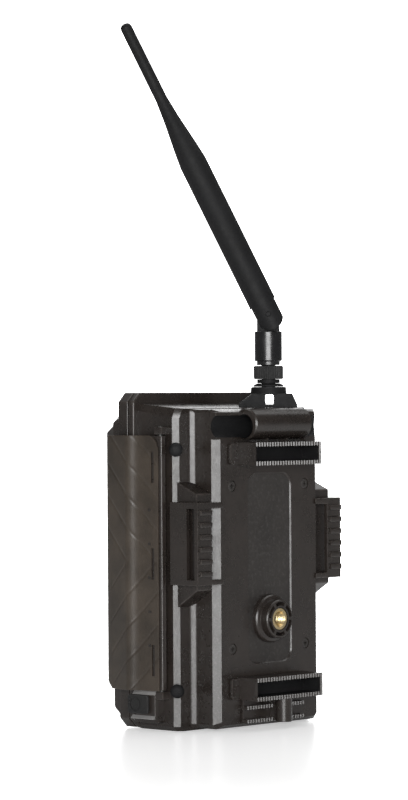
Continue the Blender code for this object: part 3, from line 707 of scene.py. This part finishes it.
def brackets():
    root = BACK + GAP
    for label, low in (("upper", 117.4), ("lower", 13.2)):
        high = low + 10.2
        outline = toothed(BRACKET_HALF, root, BRACKET_TIP)
        bracket = prism("fine_bracket_" + label, "z", outline, low, high, "housing rod")
        tabs = rectangle(-27.0, 27.0, low + 0.4, high - 0.4, corner=1.0)
        weld(bracket, prism("tabs", "y", tabs, root, root + 1.6, soft=0.3))
        channel = (low + 1.8, high - 1.8)
        cut(bracket, box("near_end", (20.0, 23.0), (BRACKET_TIP - 1.6, 45.0), channel))
        # The channel's inner faces take the dark rubber: painted shade inside the channel.
        shaded_channel = box("channel", (-20.2, 20.2), (root + 2.0, 45.0), channel)
        paint(shaded_channel, 1)
        cut(bracket, shaded_channel)
        if label == "lower":
            bracket_foot(bracket, root)
        stand_in(bracket, "housing", "tree_bracket_" + label)


def bracket_foot(bracket, root):
    """A toothed ledge round the post below the lower bracket."""
    half = 19.5
    for zs in ((2.9, 4.5), (8.9, 10.5)):
        weld(bracket, prism("ledge", "z", toothed(half, root + 0.4, 33.6), *zs))
    plate = box("ledge_plate", (-half, half), (root, root + 1.3), (2.7, 13.6), soft=0.2)
    web = box("post_web", (-1.6, 1.6), (root + 0.5, 38.0), (3.3, 13.6))
    post = turned("post", [(3.7, 2.7), (3.7, 13.7)], (0.0, 37.8, 0.0), Z, soft=0.3)
    weld(bracket, plate, web, post)


def strap_loops():
    wall = [(45.5, 13.8), (LOOP_SIDE, 13.8), (LOOP_SIDE, 30.6), (38.7, 30.6)]
    wall += [(38.7, 28.6), (46.2, 28.6), (46.2, 15.4), (45.5, 15.4)]
    end_plate = [(44.6, 15.6), (LOOP_SIDE - 0.1, 15.6), (LOOP_SIDE - 0.1, 30.5), (31.0, 30.5)]
    end_plate += [(31.0, BACK + GAP), (34.9, BACK + GAP), (34.98, 26.9), (44.6, 26.9)]
    for side, label in ((1, "right"), (-1, "left")):
        outline = [(side * x, y) for x, y in wall]
        loop = prism("fine_strap_loop_" + label, "z", outline, LOOP_LOW, LOOP_HIGH, soft=0.25)
        outline = [(side * x, y) for x, y in end_plate]
        for zs in ((LOOP_LOW + 0.1, 67.4), (98.8, LOOP_HIGH - 0.1)):
            weld(loop, prism("end_plate", "z", outline, *zs, soft=0.3))
        window = mirrored(side, 45.0, 49.0)
        cut(loop, box("strap_window", window, (24.0, 28.6), (67.4, 98.8)))
        xs = mirrored(side, 39.6, 47.2)
        ribs = [(xs, (30.2, 32.0), (z, z + 2.3)) for z in evenly(68.9, 95.9, 6)]
        weld(loop, boxes("ribs", ribs, soft=0.4))
        stand_in(loop, "housing")


# Latch.

GRIP_FRONT = [(52.4, -20.0), (54.95, -6.2), (54.3, -4.5)]
GRIP_REAR = [(53.1, -2.6), (52.4, -1.1), (51.8, 1.5), (51.1, 9.6)]
GRIP_PROFILE = [Vector(point) for point in GRIP_FRONT + GRIP_REAR]
GRIP_BEND = 0.9
CHEVRON_PITCH = 14.5
CHEVRON_DEPTH = 0.13
CHEVRON_WIDTH = 0.8
EDGE_NICK = 1.1


def on_profile(u):
    for start, end in zip(GRIP_PROFILE, GRIP_PROFILE[1:]):
        length = (end - start).length
        if u <= length or end is GRIP_PROFILE[-1]:
            return start.lerp(end, u / length)
        u -= length


def grip_point(u, length):
    """(point, outward direction) at u mm from the front edge of the grip's outer face."""
    near = min(GRIP_BEND, u, length - u)
    before, after = on_profile(u - near), on_profile(u + near)
    point = (before + after) / 4 + on_profile(u) / 2
    direction = (on_profile(min(length, u + 0.1)) - on_profile(max(0.0, u - 0.1))).normalized()
    return point, Vector((direction.y, -direction.x))


def latch_grip():
    """A bent panel with shallow chevron grooves, which also nick its front edge."""
    length = sum((b - a).length for a, b in zip(GRIP_PROFILE, GRIP_PROFILE[1:]))
    middle = (LATCH_LOW + LATCH_HIGH) / 2 + 0.7
    rings = []
    for z in evenly(LATCH_LOW, LATCH_HIGH, 241):
        ring = []
        for u in evenly(0.0, length, 81):
            point, outward = grip_point(u, length)
            phase = (abs(z - middle) + u) / CHEVRON_PITCH
            away = abs(phase - round(phase)) * CHEVRON_PITCH / 1.41
            groove = max(0.0, 1.0 - away / CHEVRON_WIDTH)
            groove = groove * groove * (3 - 2 * groove)
            point = point - outward * CHEVRON_DEPTH * groove
            if u == 0.0:
                point.y += EDGE_NICK * groove
            ring.append((point.x, point.y, z))
        inner = [(50.6, 9.6), (52.1, -2.9), (53.3, -5.8), (50.9, ring[0][1])]
        rings.append(ring + [(x, y, z) for x, y in inner])
    bm = bmesh.new()
    add_rings(bm, rings)
    grip = add_object("fine_latch_grip", bm, "bronze", 0.25, 50.0)
    radius = 5.0
    arc = [math.radians(a) for a in evenly(0, 90, 11)]
    y, z = 9.0 - radius, LATCH_HIGH - radius
    corner = [(y + radius * math.cos(a), z + radius * math.sin(a)) for a in arc]
    corner += [(4.0, LATCH_HIGH + 3.0), (13.0, LATCH_HIGH + 3.0), (13.0, z)]
    cut(grip, prism("grip_corner", "x", corner, 45.0, 60.0))
    nose = [(-22.0, 15.0), (-17.5, 17.9), (-22.0, 22.5)]
    cut(grip, prism("grip_nose", "x", nose, 45.0, 60.0))
    slots = [((48.0, 58.0), (5.7, 7.3), (z, z + 13.8)) for z in (24.6, 67.3, 110.0)]
    cut(grip, boxes("grip_slots", slots))
    stand_in(grip, "latch", "latch_grip_panel")


def latch_frame():
    shape = [(46.0, 6.5), (46.0, -6.9), (48.9, -6.9), (48.9, -19.4), (50.55, -19.7), (53.0, -6.0)]
    shape += [(51.95, -3.0), (50.3, 9.0), (49.6, 10.6), (47.6, 10.9), (46.2, 9.8)]
    low, high = LATCH_LOW + GAP, LATCH_HIGH - GAP
    body = prism("fine_latch_frame", "z", shape, low, high, soft=0.3)
    cut(body, box("latch_pocket", (45.0, 51.2), (-5.4, 5.2), (23.0, 126.0)))
    ribs = [((46.2, 51.6), (-5.6, 5.4), span(z, 1.2)) for z in range(38, 113, 15)]
    weld(body, boxes("latch_ribs", ribs))
    drill(body, "latch_bore", LATCH_PIN, Z, 1.4, LATCH_LOW - 3, LATCH_HIGH + 3, 24)
    stand_in(body, "latch")


def power_port():
    shell = [(2.8, 43.0), (2.8, 50.1), (3.9, 50.1), (3.9, 41.5)]
    jack = turned("fine_power_jack", shell, PORT, X, "black", 0.15, 40)
    tip = [(0.9, 44.0), (0.9, 48.4), (0.4, 48.9)]
    pin = turned("jack_pin", tip, PORT, X, "steel", segments=20)
    stand_in(merge(jack, pin), "housing")
    flap = rectangle(-9.0, 3.4, 7.6, 15.9, corner=1.4)
    low, high = PORT_FACE + GAP, PORT_FACE + 1.7
    cover = prism("fine_port_cover", "x", flap, low, high, "rubber", 0.35)
    floor = PORT_FACE + 1.4
    ring = [(3.2, floor), (3.2, 54.0), (2.6, 54.0), (2.6, floor)]
    cut(cover, turned("cover_ring", ring, PORT, X, segments=40, closed=True))
    grips = [((51.5, 52.45), (-8.5, -7.2), (z, z + 0.6)) for z in (9.4, 10.8, 12.2, 13.6)]
    weld(cover, boxes("cover_grips", grips, "rubber", 0.12))
    stand_in(cover, "port_cover", "power_port_cover")


# Front half of the housing, which is the door.


def front_housing():
    edge, inner = panel(47.6, 3.0, 143.6, 3.0, 6.0, 5.0), panel(44.2, 8.8, 134.0, 2.0, 6.0, 5.0)
    sections = [
        (DOOR_LIP + 2.0, edge),
        (DOOR_LIP, edge),
        (-22.0, panel(47.2, 6.5, 141.4, 3.0, 6.0, 5.0)),
        (-22.0, panel(46.3, 14.0, 140.3, 3.0, 6.0, 5.0)),
        (DOOR_FRONT, panel(43.6, 17.3, 137.0, 3.0, 6.0, 5.0)),
    ]
    shell = stack("fine_front_housing", "y", sections, soft=0.6)
    weld(shell, prism("front_rim", "y", rim_outline(), DOOR_LIP, SEAM - GAP / 2, soft=0.45))
    cavity = [
        (SEAM + 1.0, inner),
        (-19.8, inner),
        (-19.8, panel(43.8, 17.0, 133.4, 2.0, 6.0, 5.0)),
        (DOOR_FRONT + 2.2, panel(41.4, 19.6, 131.4, 2.0, 5.0, 5.0)),
    ]
    cut(shell, stack("front_cavity", "y", cavity))
    root, lip = DOOR_FRONT + 1.0, DOOR_FRONT - 0.9
    outer = rectangle(-36.5, 36.5, 94.5, 129.5, corner=3.5)
    raised = [(root, outer), (lip, rectangle(-35.6, 35.6, 95.4, 128.6, corner=3.0))]
    weld(shell, stack("window_frame", "y", raised, soft=0.3))
    window = rectangle(-33.0, 33.0, 98.0, 126.0, corner=1.2)
    cut(shell, prism("led_opening", "y", window, -32.0, -26.0))
    brow = [(13.6, root), (15.4, root), (14.6, lip), (13.6, lip)]
    weld(shell, turned("lens_ring", brow, LENS, Y, closed=True))
    for centre, radius in ((LENS, 12.3), (PIR, 11.3), (STATUS, 2.9)):
        wide = radius + 0.5
        hole = [(wide, -32.0), (wide, DOOR_FRONT - 0.1)]
        hole += [(radius, DOOR_FRONT + 0.5), (radius, -26.0)]
        cut(shell, turned("opening", hole, centre, Y))
    for side in (-1, 1):
        xs, ys = mirrored(side, 22.0, 40.0), (DOOR_FRONT - 1.0, DOOR_FRONT + 0.5)
        lines = [(xs, ys, (z, z + 1.2)) for z in range(26, 54, 4)]
        cut(shell, boxes("grille", lines))
    for x in evenly(20.0, 28.8, 5):
        drill(shell, "sound_hole", (x, 0.0, 62.0), Y, 0.55, -31.0, DOOR_FRONT + 1.5, 12)
    hinge_knuckles(shell, [(45.4, 60.0), (90.0, 104.6)], (-16.4, SEAM - GAP / 2))
    stand_in(shell, "door")


def optics():
    bezel = [(8.6, -27.7), (12.0, -27.7), (12.0, -30.2), (11.6, -31.2), (10.8, -31.6)]
    bezel += [(9.9, -31.6), (9.3, -31.1), (8.8, -30.2), (8.6, -29.95)]
    bezel = turned("fine_lens_bezel", bezel, LENS, Y, "black", closed=True, segments=96)
    stand_in(bezel, "door")
    glass = [(8.3, -28.7), (8.3, -29.6), (8.0, -29.9), (2.0, -29.9)]
    stand_in(turned("fine_lens_window", glass, LENS, Y, "glass", segments=96), "door")
    barrel = [(6.0, -20.5), (6.0, -25.4), (7.4, -25.4), (7.4, -28.3), (6.6, -28.3)]
    for step in range(3):
        radius = 6.2 - 0.9 * step
        y = -27.9 + 0.7 * step
        barrel += [(radius, y), (radius, y + 0.5), (radius - 0.5, y + 0.5)]
    barrel = turned("fine_lens_module", barrel, LENS, Y, "black", 0.08, 72)
    dome = [(3.6, -25.9), (3.6, -26.2), (3.0, -26.8), (2.0, -27.2), (0.9, -27.4), (0.2, -27.42)]
    dome = turned("front_element", dome, LENS, Y, "tint", segments=48)
    stand_in(merge(barrel, dome), "door")
    xs, ys, zs = extent("ir_led_window")
    pane = prism("fine_ir_window", "y", rectangle(*xs, *zs, corner=1.0), *ys, "tint", 0.25)
    stand_in(pane, "door", "ir_led_window")
    dome = [(10.9, -26.2), (10.9, -28.9)]
    for step in range(1, 9):
        angle = math.radians(10 * step)
        radius = 10.9 * math.cos(angle)
        y = -28.9 - 4.0 * math.sin(angle)
        dome += [(radius, y), (radius - 0.25, y + 0.12)]
    dome += [(0.5, -32.9), (0.5, -31.8), (6.0, -30.6), (9.0, -28.6), (9.9, -26.2)]
    stand_in(turned("fine_pir_lens", dome, PIR, Y, "milky", segments=72), "door")
    sensor = [(4.6, -18.4), (4.6, -19.2), (4.1, -19.2), (4.1, -23.7), (3.8, -24.0)]
    sensor = turned("fine_pir_sensor", sensor, PIR, Y, "steel", segments=48)
    cut(sensor, box("sensor_window", (-2.0, 2.0), (-25.0, -23.7), span(PIR[2], 3.2)))
    stand_in(sensor, "door")
    status = [(2.6, -27.0), (2.6, -28.9), (2.2, -29.2)]
    stand_in(turned("fine_status_window", status, STATUS, Y, "tint", segments=40), "door")


# Boards, with parts placed from a fixed seed.


def board(node, body, side, parts=(), holes=(), bare=()):
    """A circuit board with parts on the face that looks along side * y, but none in the bare areas.

    Each part is (x, z, width, height, rise), and each bare area (x, z, width, height).
    """
    xs, ys, zs = extent(node)
    outline = rectangle(*xs, *zs, corner=min(1.5, (zs[1] - zs[0]) / 4))
    slab = prism("fine_" + node, "y", outline, *ys, "board", 0.1)
    for x, z in holes:
        drill(slab, "screw_hole", (x, 0.0, z), Y, 1.3, ys[0] - 1, ys[1] + 1, 20)
    face = ys[1] if side > 0 else ys[0]

    def rising(sunk, height):
        return sorted((face - side * sunk, face + side * height))

    chips, pads = [], []
    for x, z, width, height, rise in parts:
        chips.append((span(x, width), rising(0.2, rise), span(z, height)))
        legs = int(width / 1.3)
        for k in range(legs):
            leg = x - width / 2 + (k + 0.5) * width / legs
            for end in span(z, height + 0.6):
                pads.append((span(leg, 0.5), rising(0.05, 0.2), span(end, 1.2)))
    dice = random.Random(len(node))
    taken = [part[:4] for part in parts] + list(bare)
    for _ in range(int((xs[1] - xs[0]) * (zs[1] - zs[0]) / SMALL_PART_AREA)):
        x = dice.uniform(xs[0] + 2, xs[1] - 2)
        z = dice.uniform(zs[0] + 2, zs[1] - 2)
        if all(abs(x - u) > w / 2 + 1.6 or abs(z - v) > h / 2 + 1.9 for u, v, w, h in taken):
            chips.append((span(x, 1.0), rising(0.1, 0.5), span(z, 0.6)))
            pads.append((span(x, 1.8), rising(0.05, 0.3), span(z, 0.7)))
    chips = boxes("chips", chips, "chip", 0.08)
    stand_in(merge(slab, chips, boxes("pads", pads, "pad")), body)


def boards():
    board("image_sensor_board", "door", 1, [(0, 80, 8, 8, 0.4)])
    board("ir_led_board", "door", 1)
    xs, ys, zs = extent("ir_led_board")
    lamp = [(1.6, 0.0), (1.6, -0.3), (1.25, -0.3), (1.2, -0.55), (0.9, -0.75), (0.3, -0.85)]
    bm = bmesh.new()
    for x in evenly(xs[0] + 4.5, xs[1] - 4.5, 9):
        for z in evenly(zs[0] + 4.0, zs[1] - 4.0, 4):
            add_rings(bm, [place(circle(r, 20, (x, z)), "y", ys[0] + y) for r, y in lamp])
    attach(settle(add_object("fine_leds", bm, "led")), "door")
    chips = [(-18, 30, 14, 14, 0.9), (22, 24, 10, 8, 0.8), (26, 46, 8, 12, 0.8)]
    under_buttons = [(x, BUTTON_Z, 9, 9) for _, x in BUTTONS]
    board("main_board", "door", 1, chips, bare=under_buttons)
    holes = [(-31, 134), (31, 134)]
    card_path = [(21, 112, 28, 34)]
    board("modem_board", "housing", -1, [(-12, 116, 26, 22, 0.6)], holes, card_path)


# Controls on the inner cover, cards and cells.


def controls():
    outline = panel(43.8, 9.2, 133.6, 2.0, 6.0, 5.0)
    cover = prism("fine_inner_cover", "y", outline, -14.0, -12.2, soft=0.4)
    screen = rectangle(-20.5, 20.5, 89.0, 117.0, corner=1.0)
    cut(cover, prism("screen_window", "y", screen, -15.0, -11.0))
    outer = rectangle(-24.0, 24.0, 85.5, 120.5, corner=2.5)
    inner = rectangle(-23.2, 23.2, 86.3, 119.7, corner=2.0)
    cut(cover, ring_prism("screen_groove", "y", outer, inner, -12.6, -11.0))
    slot = rectangle(-7.0, 7.0, *span(SWITCH_Z, 4.6), corner=0.6)
    cut(cover, prism("switch_window", "y", slot, -15.0, -11.0))
    hole = [(3.8, -15.0), (3.8, -12.7), (4.2, -12.1), (4.2, -11.0)]
    cap = [(3.4, -15.2), (3.4, -11.6), (3.2, -11.2), (2.6, -11.0)]
    dish = [(2.2, -11.2), (2.3, -10.5)]
    for label, x in BUTTONS:
        centre = (x, 0.0, BUTTON_Z)
        cut(cover, turned("button_hole", hole, centre, Y, segments=40))
        button = turned("fine_button_" + label, cap, centre, Y, "rubber", 0.08, 40)
        cut(button, turned("dish", dish, centre, Y, segments=32))
        stand_in(button, "button_" + label)
    dimple = [(1.9, -12.9), (2.1, -11.0)]
    for x, z in ((-38.8, 14.0), (38.8, 14.0), (-38.8, 127.0), (38.8, 127.0)):
        cut(cover, turned("dimple", dimple, (x, 0.0, z), Y, segments=24))
    stand_in(cover, "door")
    xs, ys, zs = extent("mode_switch")
    knob = box("fine_mode_switch", xs, ys, zs, "bronze", 0.3)
    nicks = [(span(x, 0.5), (ys[1] - 0.35, ys[1] + 1), zs) for x in (-5.4, -4.2, -3.0)]
    cut(knob, boxes("knob_nicks", nicks))
    stand_in(knob, "mode_switch")
    stand_in(box("fine_lcd", *extent("lcd_screen"), "screen", 0.2), "door", "lcd_screen")


def cards():
    xs, ys, zs = extent("sd_card_socket")
    socket = box("fine_sd_socket", xs, ys, zs, "steel", 0.2)
    cut(socket, box("card_slot", (-12.4, 12.4), (-11.6, -9.3), (18.0, 44.6)))
    top = (ys[1] - 0.3, ys[1] + 1.0)
    windows = [((-9.0, 9.0), top, (26.0, 30.0)), ((-3.0, 3.0), top, (34.0, 42.0))]
    cut(socket, boxes("socket_windows", windows))
    stand_in(socket, "door", "sd_card_socket")
    for node, notch, soft, front in (("sd_card", 3.0, 0.25, 1), ("sim_card", 2.2, 0.15, 0)):
        xs, ys, zs = extent(node)
        slope = [(xs[1], zs[1] - notch), (xs[1] - notch, zs[1])]
        outline = [(xs[0], zs[0]), (xs[1], zs[0]), *slope, (xs[0], zs[1])]
        card = prism("fine_" + node, "y", outline, *ys, "card", soft)
        depth, height = (ys[front] - 0.06, ys[front] + 0.04), (zs[1] - 6.0, zs[1] - 2.5)
        pads = [(span(x, 1.2), depth, height) for x in evenly(xs[0] + 2.0, xs[1] - 4.0, 6)]
        stand_in(merge(card, boxes("card_pads", pads, "brass")), node)


def power():
    tray = box("fine_battery_tray", *extent("battery_tray"), "black", 0.4)
    cut(tray, box("tray_hollow", (-30.6, 30.6), (8.0, 25.4), (7.9, 124.6)))
    for low in CELL_ROWS:
        rails = [(span(x, 1.0), (21.5, 25.8), (low + 3, low + 46)) for x in (-14.6, 0.0, 14.6)]
        weld(tray, boxes("cell_rails", rails, "black", 0.2))
    stand_in(tray, "housing")
    columns = [CELL_PITCH * (i - 1.5) for i in range(4)]
    foot = [(5.6, 0.0), (6.3, 0.15), (CELL_R - 0.1, 0.7), (CELL_R, 1.1)]
    head = [(CELL_R, 16.0), (CELL_R, 2.5), (CELL_R - 0.25, 1.6), (6.0, 1.4)]
    head += [(5.4, 1.55), (2.75, 1.4), (2.7, 0.3), (2.2, 0.0)]
    cells = [(low, x) for low in CELL_ROWS for x in columns]
    for number, (low, x) in enumerate(cells, start=1):
        high = low + CELL_LENGTH
        shape = [(radius, low + rise) for radius, rise in foot]
        shape += [(radius, high - fall) for radius, fall in head]
        name, centre = f"fine_battery_{number}", (x, CELL_Y, 0.0)
        cell = turned(name, shape, centre, Z, "sleeve band steel", 0.0, 48, marks={4, 5})
        bare = ((low + 0.3) * MM, (high - 1.5) * MM)
        paint(cell, 2, lambda face: not bare[0] <= face.center.z <= bare[1])
        stand_in(cell, "housing")
    plates = [
        ("lower", 8.2, [(8.6, 10.7)]),
        ("middle", 65.7, [(65.9, 61.8), (66.1, 70.2)]),
        ("upper", 123.7, [(123.9, 121.3)]),
    ]
    for label, low, springs in plates:
        left, right = extent("battery_contacts_" + label)[0]
        halves = [(left, right)] if label == "lower" else [(left, -0.8), (0.8, right)]
        leaves = [(xs, (12.0, 24.0), (low, low + 0.6)) for xs in halves]
        plate = boxes("fine_contacts_" + label, leaves, "steel", 0.15)
        coils = [coil(x, *ends) for ends in springs for x in columns]
        stand_in(merge(plate, *coils), "housing", "battery_contacts_" + label)


def coil(x, start, end):
    """A conical contact spring of round wire."""
    turns, steps, wire_radius = 3, 16, 0.3
    rings = []
    for k in range(turns * steps + 1):
        share = k / (turns * steps)
        angle = math.tau * k / steps
        out = Vector((math.cos(angle), math.sin(angle), 0.0))
        middle = Vector((x, CELL_Y, start + (end - start) * share)) + out * (4.4 - 1.8 * share)
        rings.append([middle + out * u + UP * v for u, v in circle(wire_radius, 8)])
    bm = bmesh.new()
    add_rings(bm, rings)
    return add_object("coil", bm, "steel")


# Antenna.


def antenna_mount():
    jack = [(2.2, 149.8), (3.2, 149.8), (3.2, 153.95), (5.2, 153.95), (5.2, 155.7), (3.2, 155.7)]
    for turn in range(6):
        z = 155.8 + 0.7 * turn
        jack += [(3.2, z), (2.9, z + 0.35)]
    jack.append((2.6, 160.3))
    jack = turned("fine_antenna_jack", jack, ANTENNA, Z, "rod", segments=48)
    stand_in(jack, "housing")
    washer = [(3.6, 152.4), (7.0, 152.4), (7.0, 152.9), (5.6, 153.85), (3.6, 153.85)]
    washer = turned("fine_antenna_washer", washer, ANTENNA, Z, "rod", 0.2, closed=True)
    stand_in(washer, "housing")
    points = 4 * NUT_TEETH
    rings = []
    levels = [(155.8, 6.3, 0.0), (156.2, 6.75, 0.32), (161.5, 6.75, 0.32), (161.9, 6.3, 0.0)]
    for z, outer, depth in levels:
        ring = []
        for i in range(points):
            radius = outer - (depth if i % 4 < 2 else 0.0)
            angle = math.tau * i / points
            x, y = radius * math.cos(angle), radius * math.sin(angle)
            ring.append((ANTENNA[0] + x, ANTENNA[1] + y, z))
        rings.append(ring)
    bore = circle(3.6, points, ANTENNA)
    rings += [place(bore, "z", 161.9), place(bore, "z", 155.8)]
    bm = bmesh.new()
    add_rings(bm, rings, closed=True)
    stand_in(add_object("fine_antenna_nut", bm, "rubber"), "antenna_nut")


def antenna():
    shape = [(3.2, 160.7), (3.2, 162.2), (5.3, 162.2), (5.3, 163.9)]
    shape += [(6.3, 164.2), (6.3, 177.3), (5.9, 177.6)]
    barrel = turned("fine_antenna_barrel", shape, ANTENNA, Z, "black rod", 0.2)
    pivot = (ANTENNA[0], ANTENNA[1], TILT_Z)
    tongue = arch(TONGUE_HALF, 176.6 - TILT_Z)
    tongue = oriented("barrel_tongue", tongue, pivot, ACROSS, UP, SIGHT, -2.4, 2.4, soft=0.3)
    paint(tongue, 1)
    weld(barrel, tongue)
    drill(barrel, "tongue_hole", pivot, SIGHT, 1.3, -8.0, 8.0, 24)
    stand_in(barrel, "antenna_base")
    pin = [(0.8, -5.6), (1.28, -5.3), (1.28, 5.3), (0.8, 5.6)]
    pin = turned("fine_tilt_pin", pin, pivot, SIGHT, "rod", segments=24)
    stand_in(pin, "antenna_base", "antenna_tilt_pin")

    lean = (-ACROSS * math.sin(TILT) + UP * math.cos(TILT)).normalized()
    beside = lean.cross(SIGHT).normalized()
    outline = [(WHIP_R, -9.0), (WHIP_R, 77.0), (5.5, 84.5), (3.6, 99.5), (2.75, 109.5)]
    tip = [(2.7, 2.2), (2.4, 1.1), (1.7, 0.35), (0.7, 0.0)]
    outline += [(radius, WHIP_LENGTH - below) for radius, below in tip]
    whip = turned("fine_antenna_whip", outline, pivot, lean, "rod")
    heel = [(u, -1.0 - v) for u, v in arch(WHIP_R + 0.05, -WHIP_LENGTH - 10.0, steps=32)]
    heel = oriented("whip_heel", heel, pivot, beside, lean, SIGHT, -9.0, 9.0, "rod")
    boolean(whip, "INTERSECT", heel)
    slot = rectangle(-9.0, 9.0, -12.0, TONGUE_HALF + 0.5)
    cut(whip, oriented("whip_slot", slot, pivot, beside, lean, SIGHT, -2.7, 2.7))
    drill(whip, "whip_hole", pivot, SIGHT, 1.3, -9.0, 9.0, 24)
    stand_in(whip, "antenna_whip")


# Studio. Distances are in metres, and the lens and its sensor in millimetres.

# Places round the object are (across, toward the camera, height).
CAMERA_PLACE = (-0.0072, 1.5, 0.1465)
CAMERA_LENS = 148.5
CAMERA_ROLL = math.radians(-0.35)
SENSOR_WIDTH = 36.0
CLIP_END = 100.0
LIGHT_TARGET = Vector((0.0, 0.0, 0.13))
# Each light is (name, place, (width, height), watts).
LIGHTS = (
    ("key_light", (0.0, 1.6, 0.2), (1.0, 0.7), 28.0),
    ("top_light", (0.1, -0.35, 1.4), (1.8, 1.4), 16.0),
)
# Cosines of the angle from straight behind the object, where the glow starts and is full.
GLOW_ANGLES = (0.8, 0.97)
GLOW_LEVELS = (0.1, 3.2)
FLOOR_REACH = 9.0
FLOOR_BELOW = 0.0001
FLOOR_ROUGHNESS = 0.28
# The paper's own light grows between these distances from the object, so the paper round the object
# is darker: a painted shade.
FLOOR_DISTANCES = (0.2, 0.6)
FLOOR_LEVELS = (0.48, 1.0)
FLOOR_BOUNCE = 0.2
WHITE = (1.0, 1.0, 1.0, 1.0)


def round_object(across, toward, height):
    return SIGHT * toward + ACROSS * across + UP * height


def camera():
    scene = bpy.context.scene
    scene.view_settings.view_transform = "Standard"
    data = bpy.data.cameras.new("camera")
    data.lens = CAMERA_LENS
    data.sensor_width = SENSOR_WIDTH
    data.clip_end = CLIP_END
    scene.camera = linked("camera", data)
    scene.camera.location = round_object(*CAMERA_PLACE)
    level = (-SIGHT).to_track_quat("-Z", "Y").to_matrix()
    scene.camera.rotation_euler = (level @ Matrix.Rotation(CAMERA_ROLL, 3, "Z")).to_euler()


def lights():
    for name, place_at, size, watts in LIGHTS:
        data = bpy.data.lights.new(name, "AREA")
        data.shape = "RECTANGLE"
        data.size, data.size_y = size
        data.energy = watts
        light = linked(name, data)
        light.location = round_object(*place_at)
        aim = (LIGHT_TARGET - light.location).to_track_quat("-Z", "Y")
        light.rotation_euler = aim.to_euler()


def backdrop():
    """A world that the camera sees as white, and that lights the object mostly from behind."""
    world = bpy.data.worlds.new("studio_world")
    bpy.context.scene.world = world
    world.use_nodes = True
    tree = world.node_tree
    background = tree.nodes["Background"]
    heading = wire(tree, "TexCoord").outputs["Generated"]
    behind = wire(tree, "VectorMath", {0: heading, 1: -SIGHT}, operation="DOT_PRODUCT")
    glow = remap(tree, behind.outputs["Value"], *GLOW_ANGLES, *GLOW_LEVELS)
    seen = wire(tree, "LightPath").outputs["Is Camera Ray"]
    background.inputs["Color"].default_value = WHITE
    strength = math_node(tree, "MAXIMUM", glow, seen)
    tree.links.new(strength, background.inputs["Strength"])


def paper_floor():
    paper, tree, shader, place = new_material("white_paper")
    fibre = noise(tree, place, 6.0)
    tone = mix(tree, fibre, (0.78, 0.78, 0.78), (0.82, 0.82, 0.82))
    tree.links.new(tone, shader.inputs["Base Color"])
    shader.inputs["Roughness"].default_value = FLOOR_ROUGHNESS
    away = wire(tree, "VectorMath", {0: place}, operation="LENGTH").outputs["Value"]
    # The paper glows less near the object: painted shade round its foot.
    direct = remap(tree, away, *FLOOR_DISTANCES, *FLOOR_LEVELS)
    bounced = math_node(tree, "MULTIPLY", direct, FLOOR_BOUNCE)
    seen = wire(tree, "LightPath").outputs["Is Camera Ray"]
    level = wire(tree, "Mix", {0: seen, 2: bounced, 3: direct}, data_type="FLOAT").outputs[0]
    shader.inputs["Emission Color"].default_value = WHITE
    tree.links.new(level, shader.inputs["Emission Strength"])
    bm = bmesh.new()
    corners = rectangle(-FLOOR_REACH, FLOOR_REACH, -FLOOR_REACH, FLOOR_REACH)
    bm.faces.new([bm.verts.new((x, y, 0.0)) for x, y in corners])
    floor = add_object("paper_floor", bm, looks="")
    floor.data.materials.append(paper)
    floor.location.z = cad_box[0][2] - FLOOR_BELOW


rear_housing()
rear_hardware()
brackets()
strap_loops()
latch_frame()
latch_grip()
power_port()
front_housing()
optics()
boards()
controls()
cards()
power()
antenna_mount()
antenna()
camera()
lights()
backdrop()
paper_floor()
